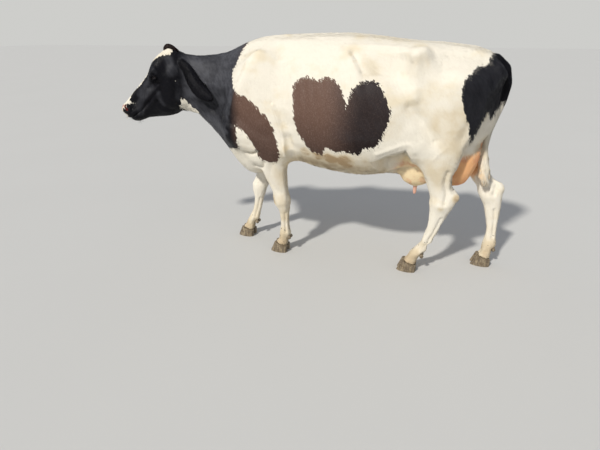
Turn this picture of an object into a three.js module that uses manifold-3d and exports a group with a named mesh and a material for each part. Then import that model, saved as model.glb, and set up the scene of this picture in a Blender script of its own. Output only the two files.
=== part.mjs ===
// A grown Holstein-Friesian dairy cow, life size, standing in mid stride with her head turned to her left.
// Millimetres, +Z up. She faces -X and her left side is towards -Y. The floor is Z = 0.
// Her flesh is one smooth body of lofts and masses, parted into nodes by thin cuts.

import * as THREE from 'three';
import { mergeVertices } from 'three/addons/utils/BufferGeometryUtils.js';
import { LoftGeometry } from 'three/addons/geometries/LoftGeometry.js';
import Module from 'manifold-3d';

const wasm = await Module();
wasm.setup();

// ---- Driving sizes -------------------------------------------------------------------------------

const CUT = 0.4;                 // width of a parting cut
const LEFT = -1;
const RIGHT = 1;

const UNDERSIDE_SQUARENESS = 2.2;

// Trunk and neck. Each row: place along X, top, height of the widest line, underline, half width, sideways shift,
// and how square the upper half is.
const TRUNK = [
	[ -1262, 1318, 1196, 1064, 60, -78, 2.0 ],     // inside the head
	[ -1190, 1334, 1190, 992, 72, -58, 2.0 ],      // throat
	[ -1080, 1345, 1160, 934, 84, -30, 2.0 ],      // upper neck
	[ -970, 1353, 1110, 826, 112, -10, 1.9 ],      // mid neck
	[ -870, 1368, 1060, 712, 154, 0, 1.8 ],        // neck base
	[ -780, 1402, 1020, 604, 198, 0, 1.7 ],        // shoulder point
	[ -690, 1440, 1000, 548, 222, 0, 1.65 ],       // brisket
	[ -600, 1464, 995, 560, 244, 0, 1.65 ],        // withers
	[ -480, 1476, 990, 628, 264, 0, 1.7 ],         // behind the withers
	[ -350, 1480, 985, 668, 290, 0, 1.8 ],         // girth
	[ -180, 1484, 965, 645, 328, 0, 1.85 ],        // ribs
	[ 0, 1484, 950, 622, 352, 0, 1.9 ],            // barrel
	[ 150, 1470, 960, 620, 350, 0, 2.0 ],          // last rib
	[ 290, 1452, 1000, 645, 316, 0, 2.3 ],         // flank
	[ 410, 1440, 1070, 690, 270, 0, 2.9 ],         // hooks
	[ 530, 1434, 1090, 720, 240, 0, 2.8 ],         // loin to rump
	[ 650, 1420, 1100, 760, 212, 0, 2.6 ],         // thurls
	[ 750, 1406, 1120, 810, 172, 0, 2.4 ],         // tail head
	[ 824, 1368, 1130, 880, 124, 0, 2.3 ],         // pins
	[ 876, 1292, 1130, 960, 64, 0, 2.2 ],          // rump end
];

// Legs, from the top down. Each row: height, half depth fore and aft, half width.
const FORELEG_SIZES = [
	[ 900, 116, 60 ],      // upper arm
	[ 780, 106, 68 ],      // elbow
	[ 680, 88, 62 ],       // forearm
	[ 560, 74, 52 ],
	[ 465, 58, 45 ],
	[ 395, 52, 49 ],       // knee
	[ 330, 40, 38 ],
	[ 220, 34, 29 ],       // cannon
	[ 140, 42, 41 ],       // fetlock
	[ 98, 38, 40 ],        // pastern
	[ 60, 50, 50 ],        // coronet
	[ 0, 50, 50 ],         // inside the claws
];
const HINDLEG_SIZES = [
	[ 1200, 176, 92 ],     // hip
	[ 1060, 196, 102 ],    // thigh
	[ 940, 180, 96 ],
	[ 830, 150, 84 ],      // stifle
	[ 750, 122, 70 ],
	[ 680, 98, 58 ],       // gaskin
	[ 610, 84, 48 ],
	[ 545, 80, 47 ],       // hock
	[ 480, 70, 46 ],
	[ 410, 56, 41 ],
	[ 320, 43, 33 ],       // cannon
	[ 210, 39, 32 ],
	[ 135, 46, 43 ],       // fetlock
	[ 96, 40, 41 ],        // pastern
	[ 60, 52, 51 ],        // coronet
	[ 0, 52, 51 ],         // inside the claws
];

// Each leg's stride. Each row: the X and Y of the leg's middle at the heights above.
const STRIDES = {
	foreleg_left: [
		[ -560, -186 ], [ -470, -196 ], [ -481, -172 ], [ -472, -150 ], [ -453, -138 ], [ -438, -130 ],
		[ -430, -126 ], [ -428, -118 ], [ -431, -110 ], [ -446, -106 ], [ -462, -104 ],
		[ -468, -104 ],
	],
	foreleg_right: [
		[ -610, 186 ], [ -570, 194 ], [ -610, 172 ], [ -656, 152 ], [ -692, 142 ], [ -709, 134 ],
		[ -717, 128 ], [ -736, 116 ], [ -764, 104 ], [ -788, 98 ], [ -806, 94 ],
		[ -812, 94 ],
	],
	hindleg_left: [
		[ 620, -126 ], [ 600, -146 ], [ 576, -160 ], [ 560, -168 ], [ 569, -170 ], [ 584, -166 ], [ 602, -160 ],
		[ 622, -154 ], [ 618, -152 ], [ 606, -151 ], [ 588, -150 ], [ 552, -147 ], [ 503, -144 ], [ 479, -142 ],
		[ 458, -140 ], [ 450, -140 ],
	],
	hindleg_right: [
		[ 640, 126 ], [ 646, 146 ], [ 668, 158 ], [ 704, 164 ], [ 752, 164 ], [ 804, 160 ], [ 864, 152 ],
		[ 916, 144 ], [ 942, 140 ], [ 956, 134 ], [ 968, 126 ], [ 974, 112 ], [ 970, 100 ], [ 960, 94 ],
		[ 944, 88 ], [ 938, 88 ],
	],
};

// Head. Its own frame runs from the poll down the face: along the nose line, across to the left, out of the face.
const HEAD_POLL = new THREE.Vector3( -1283, -92, 1385 );
const HEAD_TURN = THREE.MathUtils.degToRad( 28 );     // to the left of the spine
const HEAD_DROP = THREE.MathUtils.degToRad( 50.2 );   // nose line below level
const HEAD = [
	[ -62, -70, -130, -185, 60, 0 ],      // nape
	[ -25, -34, -118, -200, 76, 0 ],      // poll
	[ 25, -2, -105, -205, 90, 0 ],
	[ 75, 12, -92, -215, 98, 0 ],         // forehead
	[ 130, 13, -84, -240, 101, 0 ],
	[ 180, 4, -86, -285, 96, 0 ],         // eyes
	[ 230, -2, -98, -318, 85, 0 ],
	[ 280, 1, -104, -318, 74, 0 ],        // cheeks
	[ 335, 4, -98, -284, 65, 0 ],
	[ 385, 6, -86, -232, 58, 0 ],         // nose
	[ 430, 7, -74, -182, 57, 0 ],
	[ 470, 8, -64, -148, 60, 0 ],         // muzzle
	[ 500, -4, -60, -128, 56, 0 ],
	[ 520, -34, -62, -96, 34, 0 ],        // nose tip
];
const EYE_RADIUS = 20;
const EYE_PLACE = [ 184, 98, -56 ];       // along, across, out

// The left ear. Each row: along, across, out of its middle, then half width, half thickness, depth of the hollow.
const EAR = [
	[ -6, 78, -128, 27, 19, 0 ],
	[ -4, 112, -172, 32, 16, 5 ],
	[ 14, 144, -212, 39, 12, 12 ],
	[ 36, 170, -258, 47, 8, 18 ],
	[ 50, 190, -304, 51, 6, 20 ],
	[ 56, 206, -346, 49, 5, 18 ],
	[ 56, 218, -382, 41, 4.5, 14 ],
	[ 52, 226, -410, 27, 4, 8 ],
	[ 48, 230, -427, 9, 3, 2 ],
];
const SEAT = 1.2;          // room round an ear or the tuft where it is seated in the flesh

// The poll tuft's curl, in the head's middle plane: along, out.
const POLL_CURL = [ [ -16, -84 ], [ -34, -58 ], [ -38, -30 ], [ -32, -8 ], [ -8, 2 ] ];

// Tail. Each row: height, half depth, half width, then the X and Y of its middle.
const TAIL = [
	[ 1356, 24, 34, 758, 0 ],
	[ 1350, 30, 36, 822, 2 ],
	[ 1296, 31, 33, 882, 5 ],
	[ 1212, 28, 29, 905, 9 ],
	[ 1110, 25, 26, 894, 14 ],
	[ 1020, 22, 23, 872, 20 ],
	[ 930, 20, 21, 851, 26 ],
	[ 840, 20, 21, 842, 32 ],
	[ 760, 22, 23, 843, 37 ],
];
const SWITCH_HEIGHT = 780;     // where the tail gives way to its switch
const SWITCH = [
	[ 800, 20, 21, 841, 35 ],
	[ 730, 33, 33, 848, 40 ],
	[ 665, 38, 36, 862, 46 ],
	[ 600, 27, 27, 877, 52 ],
	[ 552, 8, 9, 888, 57 ],
];

// Udder and teats.
const UDDER_FLOOR = 562;
const UDDER_ENDS = [ 318, 870 ];
const UDDER_TOP = 672;                    // where the udder's upper plane starts, at its fore end
const UDDER_SLOPE = [ 0.3, 0, -1 ];       // that plane's normal: it rises towards the rear
const TEAT_LENGTH = 52;                   // below the udder's floor
const TEAT_RADIUS = 13;
const TEAT_APART = 56;
const TEAT_ROWS = [ [ 'fore', 448 ], [ 'rear', 640 ] ];

// Claws.
const CLAW_LENGTH = 128;
const CLAW_WIDTH = 55;
const CLAW_HEIGHT = 84;
const CLAW_APART = 27;
const CORONET_HEIGHT = 62;
const CORONET_SLOPE = [ 0.3, 0, 1 ];      // higher at the toe than at the heel
const DEWCLAW_RADIUS = 14;
const DEWCLAW_HEIGHT = 116;
const DEWCLAW_BEHIND = 36;
const DEWCLAW_APART = 20;

// Partings: the neck from the head and from the trunk.
const NAPE_THROUGH = [ -1240, 0, 1200 ];
const NAPE_NORMAL = [ - Math.cos( HEAD_TURN ), - Math.sin( HEAD_TURN ), 0 ];
const COLLAR_THROUGH = [ -740, 0, 1050 ];
const COLLAR_NORMAL = [ -0.969, 0, 0.248 ];

// The room of each leg. Each row: height, front, back, distance of its inner wall from the middle.
const LEG_ROOMS = {
	foreleg_left: [ [ -30, -720, -250, 12 ], [ 500, -720, -250, 12 ], [ 556, -720, -280, 62 ], [ 716, -720, -320, 62 ] ],
	foreleg_right: [ [ -30, -960, -400, 12 ], [ 480, -960, -400, 12 ], [ 548, -860, -440, 62 ], [ 716, -790, -440, 62 ] ],
	hindleg_left: [ [ -30, 300, 800, 12 ], [ 480, 400, 820, 12 ], [ 540, 430, 840, 106 ], [ 850, 400, 900, 106 ] ],
	hindleg_right: [ [ -30, 700, 1200, 12 ], [ 480, 700, 1200, 12 ], [ 540, 560, 1150, 106 ], [ 850, 440, 1000, 106 ] ],
};
const LEG_NETS = {
	foreleg_left: { low: [ -740, -330, -40 ], high: [ -230, 20, 780 ], cell: [ 32, 30, 54 ] },
	foreleg_right: { low: [ -900, -20, -40 ], high: [ -380, 330, 780 ], cell: [ 32, 30, 54 ] },
	hindleg_left: { low: [ 300, -340, -40 ], high: [ 900, -40, 900 ], cell: [ 35, 32, 56 ] },
	hindleg_right: { low: [ 400, 20, -40 ], high: [ 1100, 340, 900 ], cell: [ 35, 32, 56 ] },
};

// Finishes.
const WHITE_COAT = new THREE.MeshStandardMaterial( { color: 0xe9e2d0, roughness: 0.85, metalness: 0 } );
const BLACK_COAT = new THREE.MeshStandardMaterial( { color: 0x17161a, roughness: 0.7, metalness: 0 } );
const BARE_SKIN = new THREE.MeshStandardMaterial( { color: 0xd8a487, roughness: 0.7, metalness: 0 } );
const HORN = new THREE.MeshStandardMaterial( { color: 0x6f6250, roughness: 0.55, metalness: 0 } );
const EYE = new THREE.MeshStandardMaterial( { color: 0x100c0a, roughness: 0.08, metalness: 0 } );

// ---- Fields of distance: negative inside the flesh ------------------------------------------------

// Joins two forms with a fillet of the given reach.
function blend( a, b, reach ) {

	const overlap = Math.max( reach - Math.abs( a - b ), 0 );
	return Math.min( a, b ) - overlap * overlap / ( 4 * reach );

}

// Takes the second form out of the first with a soft rim.
function scoop( a, b, reach ) {

	return - blend( - a, b, reach );

}

// A form along its own first axis, with an egg-shaped section at each station.
class Sweep {

	constructor( stations, frame = new THREE.Matrix4() ) {

		const rows = [ ...stations ].sort( ( a, b ) => a[ 0 ] - b[ 0 ] );
		this.first = rows[ 0 ][ 0 ];
		this.last = rows[ rows.length - 1 ][ 0 ];
		this.sections = new THREE.CubicInterpolant( rows.map( row => row[ 0 ] ), rows.flatMap( row => row.slice( 1 ) ), 6 );
		this.toLocal = frame.clone().invert();
		this.local = new THREE.Vector3();

	}

	distance( point ) {

		const p = this.local.copy( point ).applyMatrix4( this.toLocal );
		const station = THREE.MathUtils.clamp( p.x, this.first, this.last );
		const [ top, widest, bottom, half, shift, squareness ] = this.sections.evaluate( station );
		const across = p.y - shift;
		const up = p.z - widest;
		const reach = up > 0 ? top - widest : widest - bottom;
		const n = up > 0 ? squareness : UNDERSIDE_SQUARENESS;
		const ratio = Math.pow( Math.pow( Math.abs( across / half ), n ) + Math.pow( Math.abs( up / reach ), n ), 1 / n );
		const centre = - Math.min( half, reach );
		const inSection = ratio < 1e-3 ? centre : Math.max( Math.hypot( across, up ) * ( 1 - 1 / ratio ), centre );
		const beyond = Math.abs( p.x - station );
		return beyond > 0 ? Math.hypot( Math.max( inSection, 0 ), beyond ) : inSection;

	}

}

// An ellipsoid with its own turn.
class Mass {

	constructor( at, radii, turn = [ 0, 0, 0 ], frame = new THREE.Matrix4() ) {

		const radians = turn.map( THREE.MathUtils.degToRad );
		const place = new THREE.Matrix4().makeRotationFromEuler( new THREE.Euler( ...radians ) );
		place.setPosition( ...at );
		this.toLocal = frame.clone().multiply( place ).invert();
		this.radii = radii;
		this.local = new THREE.Vector3();

	}

	distance( point ) {

		const p = this.local.copy( point ).applyMatrix4( this.toLocal );
		const [ a, b, c ] = this.radii;
		const ratio = Math.hypot( p.x / a, p.y / b, p.z / c );
		const slope = Math.hypot( p.x / ( a * a ), p.y / ( b * b ), p.z / ( c * c ) );
		return slope < 1e-9 ? - Math.min( a, b, c ) : ratio * ( ratio - 1 ) / slope;

	}

}

// ---- The parts of the flesh ------------------------------------------------------------------------

// Turns leg rows into upright sweep stations: height, front, middle, back, half width, sideways place.
function uprightStations( rows ) {

	return rows.map( ( [ height, depth, width, x, y ] ) => [ height, - x + depth, - x, - x - depth, width, y, 2.2 ] );

}

// An upright frame: its first axis is up, its third points the way she faces.
const UPRIGHT = new THREE.Matrix4().makeBasis(
	new THREE.Vector3( 0, 0, 1 ),
	new THREE.Vector3( 0, 1, 0 ),
	new THREE.Vector3( - 1, 0, 0 ),
);

function legSweep( sizes, stride ) {

	return new Sweep( uprightStations( sizes.map( ( row, i ) => [ ...row, ...stride[ i ] ] ) ), UPRIGHT );

}

// The head's frame: along the nose line, across to her left, out of the face.
function headFrame() {

	const ahead = new THREE.Vector3( - Math.cos( HEAD_TURN ), - Math.sin( HEAD_TURN ), 0 );
	const up = new THREE.Vector3( 0, 0, 1 );
	const along = ahead.clone().multiplyScalar( Math.cos( HEAD_DROP ) ).addScaledVector( up, - Math.sin( HEAD_DROP ) );
	const out = ahead.clone().multiplyScalar( Math.sin( HEAD_DROP ) ).addScaledVector( up, Math.cos( HEAD_DROP ) );
	const across = new THREE.Vector3().crossVectors( out, along );
	return new THREE.Matrix4().makeBasis( along, across, out ).setPosition( HEAD_POLL );

}

const HEAD_FRAME = headFrame();

// A pair of masses on the head, one each side of the face.
function headPair( [ along, across, out ], radii, [ roll, pitch, yaw ] = [ 0, 0, 0 ] ) {

	return [
		new Mass( [ along, across, out ], radii, [ roll, pitch, yaw ], HEAD_FRAME ),
		new Mass( [ along, - across, out ], radii, [ - roll, pitch, - yaw ], HEAD_FRAME ),
	];

}

// A pair of masses on the trunk, one each side of the spine.
function bodyPair( [ x, y, z ], radii, [ roll, pitch, yaw ] = [ 0, 0, 0 ] ) {

	return [
		new Mass( [ x, - y, z ], radii, [ roll, pitch, yaw ] ),
		new Mass( [ x, y, z ], radii, [ - roll, pitch, - yaw ] ),
	];

}

const trunk = new Sweep( TRUNK );
const legs = {
	foreleg_left: legSweep( FORELEG_SIZES, STRIDES.foreleg_left ),
	foreleg_right: legSweep( FORELEG_SIZES, STRIDES.foreleg_right ),
	hindleg_left: legSweep( HINDLEG_SIZES, STRIDES.hindleg_left ),
	hindleg_right: legSweep( HINDLEG_SIZES, STRIDES.hindleg_right ),
};

// Muscle and bone that stand out of the trunk, with the reach of each fillet.
const trunkMasses = [
	[ bodyPair( [ - 640, 168, 1090 ], [ 128, 76, 300 ], [ 0, 20, 6 ] ), 110 ],        // shoulder blades
	[ bodyPair( [ - 745, 176, 905 ], [ 92, 66, 100 ], [ 0, 0, 0 ] ), 90 ],            // shoulder points
	[ bodyPair( [ - 610, 196, 860 ], [ 175, 64, 92 ], [ 0, 20, - 4 ] ), 90 ],         // upper arms
	[ bodyPair( [ 396, 186, 1358 ], [ 86, 72, 46 ], [ 14, 0, 10 ] ), 80 ],             // hooks
	[ bodyPair( [ 824, 86, 1264 ], [ 66, 48, 52 ] ), 60 ],                            // pins
	[ bodyPair( [ 660, 190, 1170 ], [ 150, 66, 110 ] ), 90 ],                         // thurls
	[ bodyPair( [ 330, 222, 850 ], [ 130, 44, 70 ], [ 0, 12, 0 ] ), 90 ],             // flank folds
];
const trunkHollows = [
	[ bodyPair( [ 268, 292, 1330 ], [ 120, 74, 84 ], [ 24, 0, 0 ] ), 70 ],            // paralumbar hollows
	[ bodyPair( [ 620, 262, 1356 ], [ 150, 74, 62 ], [ 20, 0, 0 ] ), 60 ],            // between hook and pin
	[ bodyPair( [ - 400, 318, 860 ], [ 62, 52, 150 ], [ 0, 8, 0 ] ), 60 ],            // behind the elbows
	[ bodyPair( [ - 900, 152, 1040 ], [ 110, 44, 60 ], [ 0, - 40, 0 ] ), 50 ],        // jugular grooves
];
const LEG_FILLET = 70;

function trunkDistance( p ) {

	let d = trunk.distance( p );
	for ( const [ pair, reach ] of trunkMasses ) for ( const mass of pair ) d = blend( d, mass.distance( p ), reach );
	for ( const [ pair, reach ] of trunkHollows ) for ( const mass of pair ) d = scoop( d, mass.distance( p ), reach );
	return d;

}

// The middle of a leg at one of its heights.
function legMiddle( name, height ) {

	const sizes = name.startsWith( 'foreleg' ) ? FORELEG_SIZES : HINDLEG_SIZES;
	return STRIDES[ name ][ sizes.findIndex( size => size[ 0 ] === height ) ];

}

// Bones that show on the legs: knee and elbow, or the point and the front of the hock.
function legMasses( name ) {

	if ( name.startsWith( 'foreleg' ) ) {

		const [ kneeX, kneeY ] = legMiddle( name, 395 );
		const [ elbowX, elbowY ] = legMiddle( name, 780 );
		return [
			new Mass( [ kneeX - 12, kneeY, 400 ], [ 42, 47, 54 ] ),
			new Mass( [ elbowX + 78, elbowY, 790 ], [ 48, 42, 58 ], [ 0, - 20, 0 ] ),
		];

	}
	const [ hockX, hockY ] = legMiddle( name, 545 );
	return [
		new Mass( [ hockX + 56, hockY, 556 ], [ 40, 34, 54 ], [ 0, 12, 0 ] ),
		new Mass( [ hockX + 4, hockY, 500 ], [ 58, 47, 60 ], [ 0, - 14, 0 ] ),
	];

}

const legBumps = Object.fromEntries( Object.keys( legs ).map( name => [ name, legMasses( name ) ] ) );

function legDistance( name, p ) {

	let d = legs[ name ].distance( p );
	for ( const mass of legBumps[ name ] ) d = blend( d, mass.distance( p ), 34 );
	return d;

}

// The udder: four quarters and the fore attachment, in their own crease between the thighs.
const udderQuarters = [
	...bodyPair( [ 452, 58, 668 ], [ 116, 72, 100 ], [ 0, - 10, 0 ] ),
	...bodyPair( [ 652, 50, 684 ], [ 122, 58, 112 ], [ 0, 8, 0 ] ),
];
const udderAttachments = [
	new Mass( [ 420, 0, 730 ], [ 140, 112, 80 ], [ 0, 12, 0 ] ),
	new Mass( [ 738, 0, 760 ], [ 78, 92, 128 ], [ 0, 20, 0 ] ),
];

function udderDistance( p ) {

	let d = udderQuarters[ 0 ].distance( p );
	for ( const mass of udderQuarters.slice( 1 ) ) d = blend( d, mass.distance( p ), 40 );
	for ( const mass of udderAttachments ) d = blend( d, mass.distance( p ), 60 );
	return d;

}

const head = new Sweep( HEAD.map( row => [ ...row, 2.6 ] ), HEAD_FRAME );
const headMasses = [
	[ headPair( [ 168, 76, - 52 ], [ 54, 34, 44 ], [ 0, 0, 0 ] ), 30 ],           // eye sockets
	[ headPair( [ 250, 52, - 190 ], [ 96, 34, 92 ], [ 0, 38, 0 ] ), 40 ],         // cheek muscle
	[ headPair( [ 95, 60, - 130 ], [ 60, 42, 62 ] ), 40 ],                        // ear roots
	[ headPair( [ 482, 34, - 26 ], [ 30, 30, 32 ] ), 22 ],                        // nostril wings
	[ headPair( [ 470, 24, - 92 ], [ 38, 38, 34 ] ), 24 ],                        // upper lip
	[ [ new Mass( [ 474, 0, - 124 ], [ 48, 42, 24 ], [ 0, - 28, 0 ], HEAD_FRAME ) ], 20 ],   // chin
	[ [ new Mass( [ - 8, 0, - 46 ], [ 30, 62, 34 ], [ 0, 0, 0 ], HEAD_FRAME ) ], 30 ],       // poll crest
];
const headHollows = [
	[ headPair( [ 225, 60, 22 ], [ 60, 26, 30 ] ), 24 ],                          // beside the nose, below the eyes
	[ headPair( [ 400, 84, - 118 ], [ 60, 30, 30 ], [ 0, 30, 0 ] ), 24 ],         // behind the mouth
];

function headDistance( p ) {

	let d = head.distance( p );
	for ( const [ masses, reach ] of headMasses ) for ( const mass of masses ) d = blend( d, mass.distance( p ), reach );
	for ( const [ pair, reach ] of headHollows ) for ( const mass of pair ) d = scoop( d, mass.distance( p ), reach );
	return d;

}

// All the flesh but the tail and ears.
function fleshDistance( p ) {

	let d = trunkDistance( p );
	for ( const name of Object.keys( legs ) ) d = blend( d, legDistance( name, p ), LEG_FILLET );
	d = blend( d, headDistance( p ), 46 );
	return blend( d, udderDistance( p ), 10 );

}

// ---- Surfaces and solids ---------------------------------------------------------------------------

// The surface of a field within a box, as a net with one point to each cell that the surface crosses.
class FleshGeometry extends THREE.BufferGeometry {

	constructor( distance, low, high, cell ) {

		super();
		const inBox = p => Math.max( distance( p ), ...[ 'x', 'y', 'z' ].map( k => Math.max( low[ k ] - p[ k ], p[ k ] - high[ k ] ) ) );
		const counts = new THREE.Vector3().subVectors( high, low ).divide( cell ).ceil().addScalar( 3 );
		const corner = ( i, j, k ) => new THREE.Vector3( i - 1.01, j - 1.01, k - 1.01 ).multiply( cell ).add( low );
		const number = ( i, j, k ) => i + counts.x * ( j + counts.y * k );
		const values = new Float64Array( counts.x * counts.y * counts.z );
		forEachCell( counts, 0, ( i, j, k ) => {

			values[ number( i, j, k ) ] = inBox( corner( i, j, k ) );

		} );
		untangle( values, counts, number );
		const points = [];
		const pointOfCell = new Map();
		forEachCell( counts, 1, ( i, j, k ) => {

			const crossings = cellCrossings( i, j, k, values, number, corner );
			if ( crossings.length === 0 ) return;
			const middle = crossings.reduce( ( sum, p ) => sum.add( p ), new THREE.Vector3() ).divideScalar( crossings.length );
			pointOfCell.set( number( i, j, k ), points.length / 3 );
			points.push( ...settle( middle, inBox, cell ).toArray() );

		} );
		const index = [];
		forEachCell( counts, 1, ( i, j, k ) => {

			for ( const [ step, u, v ] of NET_EDGES ) {

				const inside = values[ number( i, j, k ) ] < 0;
				if ( inside === values[ number( i + step[ 0 ], j + step[ 1 ], k + step[ 2 ] ) ] < 0 ) continue;
				const ring = [ [ 0, 0 ], [ 1, 0 ], [ 1, 1 ], [ 0, 1 ] ].map( ( [ a, b ] ) => pointOfCell.get(
					number( i - a * u[ 0 ] - b * v[ 0 ], j - a * u[ 1 ] - b * v[ 1 ], k - a * u[ 2 ] - b * v[ 2 ] ) ) );
				pushQuad( index, points, inside ? ring : ring.reverse() );

			}

		} );
		this.setAttribute( 'position', new THREE.Float32BufferAttribute( points, 3 ) );
		this.setIndex( index );

	}

}

// The three edges from a cell's low corner: the edge's step, then the two steps to the cells round it.
const NET_EDGES = [
	[ [ 1, 0, 0 ], [ 0, 1, 0 ], [ 0, 0, 1 ] ],
	[ [ 0, 1, 0 ], [ 0, 0, 1 ], [ 1, 0, 0 ] ],
	[ [ 0, 0, 1 ], [ 1, 0, 0 ], [ 0, 1, 0 ] ],
];

function forEachCell( counts, margin, visit ) {

	const start = margin;
	for ( let k = start; k < counts.z - margin; k ++ )
		for ( let j = start; j < counts.y - margin; j ++ )
			for ( let i = start; i < counts.x - margin; i ++ ) visit( i, j, k );

}

// Settles each face of a cell whose corners are in and out by turns, so that the net never meets itself along an edge.
function untangle( values, counts, number ) {

	let tangled = true;
	while ( tangled ) {

		tangled = false;
		forEachCell( counts, 1, ( i, j, k ) => {

			for ( const [ , u, v ] of NET_EDGES ) {

				const corners = [ [ 0, 0 ], [ 1, 0 ], [ 1, 1 ], [ 0, 1 ] ].map( ( [ a, b ] ) => number(
					i + a * u[ 0 ] + b * v[ 0 ], j + a * u[ 1 ] + b * v[ 1 ], k + a * u[ 2 ] + b * v[ 2 ] ) );
				const [ a, b, c, d ] = corners.map( corner => values[ corner ] < 0 );
				if ( a !== c || b !== d || a === b ) continue;
				const weakest = corners.reduce( ( best, n ) => Math.abs( values[ n ] ) < Math.abs( values[ best ] ) ? n : best );
				values[ weakest ] = values[ weakest ] < 0 ? 1 : - 1;
				tangled = true;

			}

		} );

	}

}

// Where the surface crosses the twelve edges of a cell.
function cellCrossings( i, j, k, values, number, corner ) {

	const crossings = [];
	for ( const [ step, u, v ] of NET_EDGES ) {

		for ( const [ a, b ] of [ [ 0, 0 ], [ 1, 0 ], [ 0, 1 ], [ 1, 1 ] ] ) {

			const from = [ 0, 1, 2 ].map( n => [ i, j, k ][ n ] + a * u[ n ] + b * v[ n ] );
			const to = from.map( ( value, n ) => value + step[ n ] );
			const start = values[ number( ...from ) ];
			const end = values[ number( ...to ) ];
			if ( start < 0 !== end < 0 ) crossings.push( corner( ...from ).lerp( corner( ...to ), start / ( start - end ) ) );

		}

	}
	return crossings;

}

// Moves a point of the net onto the surface itself, by no more than half a cell.
function settle( point, distance, cell ) {

	const start = point.clone();
	const reach = 0.4 * Math.min( cell.x, cell.y, cell.z );
	const probe = new THREE.Vector3();
	for ( let pass = 0; pass < 4; pass ++ ) {

		const d = distance( point );
		const slope = [ 'x', 'y', 'z' ].map( axis => {

			probe.copy( point )[ axis ] += 1;
			return distance( probe ) - d;

		} );
		const steepness = slope[ 0 ] ** 2 + slope[ 1 ] ** 2 + slope[ 2 ] ** 2;
		if ( steepness > 1e-6 ) point.addScaledVector( new THREE.Vector3( ...slope ), - d / steepness );

	}
	return start.add( point.sub( start ).clampLength( 0, reach ) );

}

// Two triangles for a ring of four points, split along the shorter diagonal.
function pushQuad( index, points, [ a, b, c, d ] ) {

	const at = n => new THREE.Vector3().fromArray( points, 3 * n );
	if ( at( a ).distanceTo( at( c ) ) < at( b ).distanceTo( at( d ) ) ) index.push( a, b, c, a, c, d );
	else index.push( a, b, d, b, c, d );

}

// A closed geometry as a solid for cutting and joining.
function solidOf( geometry ) {

	const bare = new THREE.BufferGeometry();
	bare.setAttribute( 'position', geometry.getAttribute( 'position' ) );
	if ( geometry.index ) bare.setIndex( geometry.index );
	const merged = mergeVertices( bare, 1e-3 );
	return new wasm.Manifold( new wasm.Mesh( {
		numProp: 3,
		vertProperties: Float32Array.from( merged.getAttribute( 'position' ).array ),
		triVerts: Uint32Array.from( merged.index.array ),
	} ) );

}

function geometryOf( solid ) {

	const mesh = solid.getMesh();
	const geometry = new THREE.BufferGeometry();
	geometry.setAttribute( 'position', new THREE.BufferAttribute( mesh.vertProperties, 3 ) );
	geometry.setIndex( new THREE.BufferAttribute( mesh.triVerts, 1 ) );
	return geometry;

}

// A length of flesh between two corners of a frame, as a net of the given cell.
function fleshSolid( low, high, cell, frame = new THREE.Matrix4() ) {

	const inFrame = new THREE.Vector3();
	const distance = p => fleshDistance( inFrame.copy( p ).applyMatrix4( frame ) );
	const corners = [ low, high, cell ].map( corner => new THREE.Vector3( ...corner ) );
	return solidOf( new FleshGeometry( distance, ...corners ).applyMatrix4( frame ) );

}

// A parting plane through a point. It keeps what lies on the side its normal points to.
const DOWN = new THREE.Vector3( 0, 0, - 1 );
const flip = normal => normal.map( n => - n );

function keepSide( solid, through, normal ) {

	const unit = new THREE.Vector3( ...normal ).normalize();
	return solid.trimByPlane( unit.toArray(), unit.dot( new THREE.Vector3( ...through ) ) + CUT / 2 );

}

function box( low, high ) {

	const size = high.map( ( value, i ) => value - low[ i ] );
	const geometry = new THREE.BoxGeometry( ...size );
	geometry.translate( ...high.map( ( value, i ) => ( value + low[ i ] ) / 2 ) );
	return solidOf( geometry );

}

const cow = new THREE.Group();

function addNode( name, solidOrGeometry, material ) {

	const geometry = solidOrGeometry.isBufferGeometry ? solidOrGeometry : geometryOf( solidOrGeometry );
	const mesh = new THREE.Mesh( geometry, material );
	mesh.name = name;
	cow.add( mesh );

}

// ---- Eyes, ears, poll tuft, tail --------------------------------------------------------------------

function headPlace( along, across, out ) {

	return new THREE.Vector3( along, across, out ).applyMatrix4( HEAD_FRAME );

}

function eyeGeometry( side, radius ) {

	const [ along, across, out ] = EYE_PLACE;
	const centre = headPlace( along, - side * across, out );
	return new THREE.SphereGeometry( radius, 12, 8 ).translate( centre.x, centre.y, centre.z );

}

// A ring round a place on a curve: a flattened section, cupped by the given depth.
function ringAt( place, widthwise, thickwise, halfWidth, halfThickness, cup, count ) {

	return Array.from( { length: count }, ( _, i ) => {

		const angle = i / count * 2 * Math.PI;
		const across = Math.cos( angle );
		return place.clone()
			.addScaledVector( widthwise, halfWidth * across )
			.addScaledVector( thickwise, halfThickness * Math.sin( angle ) + cup * across * across );

	} );

}

// The middle of a ring. The first ring of a grown form also moves back, so that its root has room behind it.
function seated( middle, lean, i, grow ) {

	return i === 0 ? middle.clone().addScaledVector( lean, - grow ) : middle;

}

function loft( sections ) {

	return new LoftGeometry( sections, { capStart: true, capEnd: true } );

}

// Ear: a cupped leaf from its root back along the neck. The right ear is the left one's mirror in the head.
function earGeometry( side, grow ) {

	const middles = EAR.map( ( [ along, across, out ] ) => new THREE.Vector3( along, - side * across, out ) );
	const line = new THREE.CatmullRomCurve3( middles );
	const sections = EAR.map( ( [ , , , halfWidth, halfThickness, hollow ], i ) => {

		const lean = line.getTangent( i / ( EAR.length - 1 ) );
		const inward = new THREE.Vector3( 0.1, side, - 0.1 );
		inward.addScaledVector( lean, - inward.dot( lean ) ).normalize();
		const widthwise = new THREE.Vector3().crossVectors( inward, lean );
		return ringAt( seated( middles[ i ], lean, i, grow ), widthwise, inward, halfWidth + grow, halfThickness + grow, hollow, 10 );

	} );
	return loft( sections ).applyMatrix4( HEAD_FRAME );

}

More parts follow.
